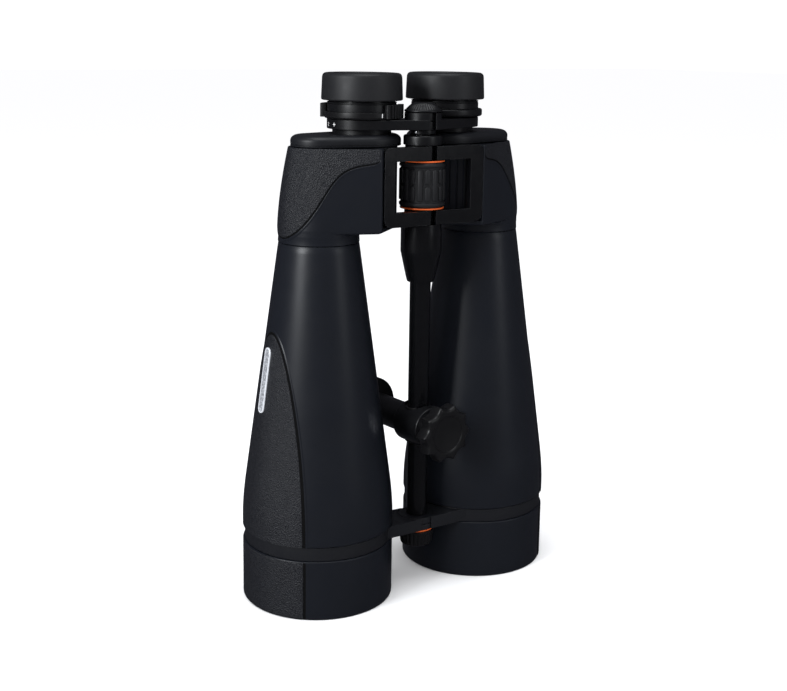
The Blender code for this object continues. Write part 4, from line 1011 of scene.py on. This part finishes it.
def grip_pad(angle, z0, z1, width, base, height):
    """A domed pad with round ends standing on the focus grip."""
    half, middle, reach = width / 2, (z0 + z1) / 2, (z1 - z0) / 2 - width / 2
    rows = []
    for shrink, lift in ((0.0, -0.2), (0.0, 0.55), (0.10, 0.85), (0.28, 1.0)):
        row = []
        for u, v in hull_outline([(0.0, reach, half * (1 - shrink)), (0.0, -reach, half * (1 - shrink))], 20):
            radius = base + height * lift
            row.append((radius * cos(angle + u / base), radius * sin(angle + u / base), middle + v))
        rows.append(row)
    return skin(rows, caps=True)


def joined(shapes):
    verts, faces = [], []
    for shape_verts, shape_faces in shapes:
        start = len(verts)
        verts += shape_verts
        faces += [tuple(start + i for i in face) for face in shape_faces]
    return verts, faces


def make_focus_wheel(body):
    """The wheel's core, its rubber grip with long and short pads by turns, and its two trim rings."""
    ring("focus_core", KNOB_CORE_R, 6.3 * MM, KNOB_Z0, KNOB_Z1, body, METAL, ["focus_knob"])
    low, high = KNOB_Z0 + KNOB_RING_H + GAP, KNOB_Z1 - KNOB_RING_H - GAP
    base, rim = KNOB_R - 0.95 * MM, KNOB_R - 0.1 * MM
    sleeve = KNOB_CORE_R + GAP
    edge = [(sleeve, 0.0), (rim - 0.7 * MM, 0.0, 0.2 * MM), (rim, 1.0 * MM, 0.6 * MM),
            (rim, 2.2 * MM, 0.4 * MM), (base, 2.7 * MM)]
    corners = [(radius, low + rise, *rounding) for radius, rise, *rounding in edge]
    corners += [(radius, high - rise, *rounding) for radius, rise, *rounding in reversed(edge)]
    turned("focus_grip_sleeve", corners, body, CUP, ["focus_grip"])
    ribs, z0, length = 18, low + 2.4 * MM, high - low - 4.8 * MM
    pads = []
    for k in range(ribs):
        angle = radians(-90.0) + 2 * pi * k / ribs
        for start, end in ((0.06, 0.94),) if k % 2 == 0 else ((0.06, 0.47), (0.53, 0.94)):
            pads.append(grip_pad(angle, z0 + length * start, z0 + length * end, 3.1 * MM, base, 0.92 * MM))
    piece("focus_grip_ribs", joined(pads), body, CUP, sharp=50, outward=(0.0, 0.0, (low + high) / 2))
    for end, z in (("lower", KNOB_Z0), ("upper", KNOB_Z1 - KNOB_RING_H)):
        ring("focus_trim_" + end, 13.3 * MM, sleeve, z + 0.15 * MM, z + KNOB_RING_H - 0.15 * MM, body, ORANGE,
             ["focus_ring_" + end])


def make_centre(half_body, slider_body):
    """The rod and its shroud, the hinge axle with its disc, and the focus spindle with its pin and cap."""
    rod = [(0.0, 28.5), (4.3, 28.5, 0.4), (4.3, 44.7), (6.4, 44.7, 0.4), (6.4, 225.7), (0.0, 225.7)]
    turned("rod", mm(rod), half_body, GLOSS, ["centre_rod"])
    shroud = [(6.7, 193.0), (8.2, 193.0, 0.5), (9.0, 196.0, 1.0), (12.4, 211.5, 3.0), (12.4, 225.4, 0.4),
              (12.2, 225.4, 0.2), (12.2, 228.6, 0.4), (6.7, 228.6)]
    turned("rod_shroud", mm(shroud), half_body, GLOSS, ["shroud"])
    ring("axle", 6.0 * MM, 4.3 * MM, 0.2260, 0.2783, half_body, STEEL, ["hinge_axle"])
    disc = [(6.3, 275.7), (11.6, 275.7, 0.3), (11.6, 281.5, 1.3), (8.0, 281.5, 0.2), (8.0, 278.6),
            (6.3, 278.6)]
    turned("axle_disc", mm(disc), half_body, METAL, ["axle_cap"])
    spindle = [(0.0, 232.0), (4.0, 232.0, 0.5), (4.0, 281.9), (7.7, 281.9, 0.4), (7.7, 284.5, 0.2),
               (4.0, 284.5), (4.0, 297.5), (0.0, 297.5)]
    turned("focus_spindle", mm(spindle), slider_body, METAL, ["focus_shaft"])
    pin = lathe(mm([(0.0, 7.2), (1.0, 7.2), (1.0, 7.75), (0.6, 7.9), (0.0, 7.9)]), segments=24)
    turn = (Matrix.Translation((0.0, 0.0, 0.2833)) @ Matrix.Rotation(radians(-160.0), 4, "Z")
            @ Matrix.Rotation(pi / 2, 4, "Y"))
    piece("spindle_pin", moved(pin, turn), slider_body, STEEL)
    make_hub_dome(slider_body)


def make_hub_dome(body):
    """The cap over the focus spindle: a rim, a slope with fine radial ridges and a flat top."""
    ridges = 40
    stations = ((0.0, 2.8, 0.0), (4.3, 2.8, 0.0), (4.3, 0.0, 0.0), (11.0, 0.0, 0.0), (11.3, 0.3, 0.0),
                (11.3, 1.0, 0.0), (11.1, 1.3, 0.0), (10.6, 1.4, 0.0), (10.3, 1.7, 0.25), (9.4, 2.7, 0.30),
                (8.2, 3.8, 0.30), (7.2, 4.6, 0.25), (6.8, 4.9, 0.0), (6.2, 5.3, 0.0), (5.2, 5.6, 0.0),
                (0.0, 5.6, 0.0))

    def place(angle, radius, rise, depth):
        return radius * MM, 0.2950 + (rise - depth * (0.5 - 0.5 * cos(ridges * angle))) * MM

    piece("hub_dome", skin(carved(stations, 320, place)), body, METAL, ["hub_cap"], 60)


def make_lock(body):
    """The bridge's lock knob: fine ribs between two plain rims, under its orange ring."""
    ribs = 24
    low, high = LOCK_LOW_R / MM, LOCK_R / MM
    stations = ((LOCK_Z0, low - 2.0, 0.0), (LOCK_Z0, low - 0.9, 0.0), (LOCK_Z0 + 0.4 * MM, low - 0.3, 0.1),
                (LOCK_Z0 + 1.2 * MM, low, 0.6), (LOCK_Z1 - 2.2 * MM, high - 0.2, 0.6),
                (LOCK_Z1 - 1.5 * MM, high - 0.1, 0.1), (LOCK_Z1 - 0.3 * MM, high, 0.0),
                (LOCK_Z1, high - 0.3, 0.0), (LOCK_Z1, 4.6, 0.0), (0.0282, 4.6, 0.0))

    def place(angle, z, radius, depth):
        return (radius - depth * (0.5 + 0.5 * cos(ribs * angle)) ** 2) * MM, z

    piece("lock_knob_body", skin(carved(stations, 240, place), caps=True), body, PLASTIC, ["lock_knob"], 50)
    ring("lock_trim", LOCK_RING_R, 4.6 * MM, LOCK_RING_Z0, LOCK_RING_Z1, body, ORANGE, ["lock_ring"],
         edge=0.4 * MM)


# ---------------------------------------------------------------- tripod adapter

def along_clamp(shape):
    """Carries a shape made about the vertical onto the clamp's level axis, height becoming distance back."""
    return moved(shape, Matrix.Translation((0.0, 0.0, CLAMP_Z)) @ Matrix.Rotation(CLAMP_TURN, 4, "Z")
                 @ Matrix.Rotation(-pi / 2, 4, "X"))


def make_adapter(bush_body, post_body, knob_body):
    """The clamp on the rod: its bush, the post with its foot, and the screw with its knob."""
    ring("rod_bush_sleeve", 8.0 * MM, 6.7 * MM, CLAMP_Z - 11.0 * MM, CLAMP_Z + 11.0 * MM, bush_body, NYLON,
         ["clamp_bush"])
    hole, clamp = 3.2, CLAMP_R / MM
    corners = [(hole, -14.0), (clamp, -14.0, 1.0), (clamp, 9.3, 1.0), (9.3, 9.3, 0.5), (9.3, 47.0),
               (0.0, 47.0), (0.0, -2.0), (hole, -2.0)]
    post = piece("adapter_post", clamp_turned(corners), post_body, METAL, ["tripod_post"])
    drill(post, 8.3 * MM, CLAMP_Z - 2 * CLAMP_R, CLAMP_Z + 2 * CLAMP_R)
    foot = [(0.0, 47.3), (17.4, 47.3, 0.5), (18.0, 48.2, 0.5), (18.0, 52.8, 0.8), (hole, 52.8, 0.4),
            (hole, 48.3), (0.0, 48.3)]
    piece("adapter_foot", clamp_turned(foot), post_body, METAL, ["tripod_foot"])

    screw, collar, neck = 2.9, 8.8, (CLAMP_KNOB_BACK + GAP) / MM
    stem = [(0.0, -24.0), (screw, -24.0), (screw, neck), (collar, neck, 0.4), (collar, -14.3, 0.4),
            (screw, -14.3), (screw, -8.4, 0.4), (0.0, -8.4)]
    piece("clamp_stem", clamp_turned(stem, 64), knob_body, STEEL, ["clamp_screw"])
    piece("clamp_grip", along_clamp(lobed_knob()), knob_body, PLASTIC, ["clamp_knob"], 45)


def clamp_turned(corners, segments=FINE):
    """A shape turned about the clamp's axis, its corners in mm and measured backward from the rod."""
    return along_clamp(lathe(rounded(mm(corners)), segments=segments))


def lobed_knob():
    """The clamp knob: a scalloped rim with rounded edges round a slightly sunk face."""
    thick = CLAMP_KNOB_FRONT - CLAMP_KNOB_BACK
    rim = CLAMP_KNOB_R / MM
    stations = ((3.2, 0.0, 0.0), (12.0, 0.0, 0.0), (rim - 1.4, 0.7, 0.0), (rim - 0.5, 0.9, 0.06),
                (rim, 1.0, 0.18), (rim, 1.0, 0.80), (rim - 0.4, 1.0, 0.93), (rim - 1.3, 0.9, 0.99),
                (rim - 2.4, 0.6, 1.0), (11.9, 0.0, 1.0), (11.4, 0.0, 0.985), (11.1, 0.0, 0.93),
                (10.4, 0.0, 0.91), (0.0, 0.0, 0.91))

    def place(angle, radius, lobe, depth):
        scallop = abs(sin(CLAMP_KNOB_LOBES * angle / 2))
        return radius * MM + lobe * CLAMP_KNOB_LOBE * (1 - 2 * scallop), CLAMP_KNOB_BACK + thick * depth

    return skin(carved(stations, 180, place))


# ---------------------------------------------------------------- carried-over CAD nodes

def finish_hidden_nodes():
    """The prisms and their shelves keep their CAD shapes, with finished materials."""
    for name, _ in SIDES:
        for node, mat in (("_prism_upper", EYE_GLASS), ("_prism_lower", EYE_GLASS), ("_prism_shelf", METAL)):
            frame["nodes"][name + node].data.materials.clear()
            frame["nodes"][name + node].data.materials.append(mat)


# ---------------------------------------------------------------- stage

def make_stage():
    floor_mat = new_material("pale_floor", (0.93, 0.93, 0.93), 0.6, Specular_IOR_Level=0.0)
    emboss(floor_mat, texture(floor_mat, "Noise", 400.0, Detail=2.0), 0.00001, 0.1)
    mesh = bpy.data.meshes.new("floor")
    reach = 12.0
    corners = [(x, y, 0.0) for x, y in ((-reach, -reach), (reach, -reach), (reach, reach), (-reach, reach))]
    mesh.from_pydata(corners, [], [(0, 1, 2, 3)])
    mesh.materials.append(floor_mat)
    floor = bpy.data.objects.new("floor", mesh)
    floor.location.z = CAD_BOX[0][2] - 0.0001
    floor.visible_glossy = False
    bpy.context.scene.collection.objects.link(floor)


def make_world():
    """White to the camera and on the floor, dark in reflections, so that the softboxes shape the black."""
    world = bpy.data.worlds.new("studio")
    world.use_nodes = True
    nodes, links = world.node_tree.nodes, world.node_tree.links
    background = nodes["Background"]
    path = nodes.new("ShaderNodeLightPath")
    mix = nodes.new("ShaderNodeMix")
    mix.data_type = "RGBA"
    mix.inputs["A"].default_value = (1.06, 1.06, 1.08, 1.0)
    mix.inputs["B"].default_value = (0.05, 0.05, 0.06, 1.0)
    links.new(path.outputs["Is Glossy Ray"], mix.inputs["Factor"])
    links.new(mix.outputs["Result"], background.inputs["Color"])
    bpy.context.scene.world = world


DAYLIGHT = (0.95, 0.975, 1.0)


def softbox(name, azimuth, height, distance, size, power, aim=0.15):
    """An area light round the object; azimuth 0 is in front, positive towards the right of the picture."""
    light = bpy.data.lights.new(name, "AREA")
    light.shape = "RECTANGLE"
    light.size, light.size_y = size
    light.energy = power
    light.color = DAYLIGHT
    obj = bpy.data.objects.new(name, light)
    angle = radians(azimuth) + CAMERA_AZIMUTH
    obj.location = (distance * sin(angle), -distance * cos(angle), height)
    obj.rotation_euler = (Vector((0.0, 0.0, aim)) - obj.location).to_track_quat("-Z", "Y").to_euler()
    bpy.context.scene.collection.objects.link(obj)


CAMERA_AZIMUTH, CAMERA_DISTANCE, CAMERA_HEIGHT = -0.6067, 0.7487, 0.33655      # round the hinge line
CAMERA_YAW, CAMERA_PITCH, CAMERA_ROLL = 0.0218, 0.1892, 0.0136
CAMERA_LENS, CAMERA_SHIFT = 57.35, -0.0832


def make_camera():
    data = bpy.data.cameras.new("camera")
    data.sensor_width = 36.0
    data.lens = CAMERA_LENS
    data.shift_y = CAMERA_SHIFT
    data.clip_start = 0.01
    camera = bpy.data.objects.new("camera", data)
    away = Vector((sin(CAMERA_AZIMUTH), -cos(CAMERA_AZIMUTH), 0.0)) * CAMERA_DISTANCE
    camera.matrix_world = (Matrix.Translation(HINGE + away + Vector((0.0, 0.0, CAMERA_HEIGHT)))
                           @ Matrix.Rotation(CAMERA_AZIMUTH + CAMERA_YAW, 4, "Z")
                           @ Matrix.Rotation(pi / 2 - CAMERA_PITCH, 4, "X")
                           @ Matrix.Rotation(CAMERA_ROLL, 4, "Z"))
    bpy.context.scene.collection.objects.link(camera)
    bpy.context.scene.camera = camera


def make_lights():
    make_world()
    softbox("key_left", -44.0, 0.62, 1.2, (0.38, 0.58), 11.5)
    softbox("fill_right", 60.0, 0.60, 1.3, (0.34, 0.8), 1.9)
    softbox("top", 10.0, 1.6, 0.3, (1.0, 1.0), 10.0)
    bpy.context.scene.view_settings.view_transform = "Standard"


# ---------------------------------------------------------------- assembly

make_camera()
for side_name, side_sign in SIDES:
    mark = side_name + "_"
    half = side_name + "_half"
    for make in (make_hood, make_barrel_armour, make_badge, make_objective, make_lower_bridge, make_housing,
                 make_cover, make_frame):
        make(side_sign, mark, half)
    make_eyepiece(side_sign, mark, mark + "eyepiece", "right_ocular" if side_sign < 0 else "left_eyepiece")
    make_eyecup(side_sign, mark, mark + "twist_sleeve", mark + "cup")
make_dioptre_ring("dioptre_adjuster")
make_focus_wheel("focus_wheel")
make_centre("left_half", "left_eyepiece")
make_lock("bridge_lock")
make_adapter("rod_bush", "tripod_adapter", "clamp_handle")
finish_hidden_nodes()
make_stage()
make_lights()
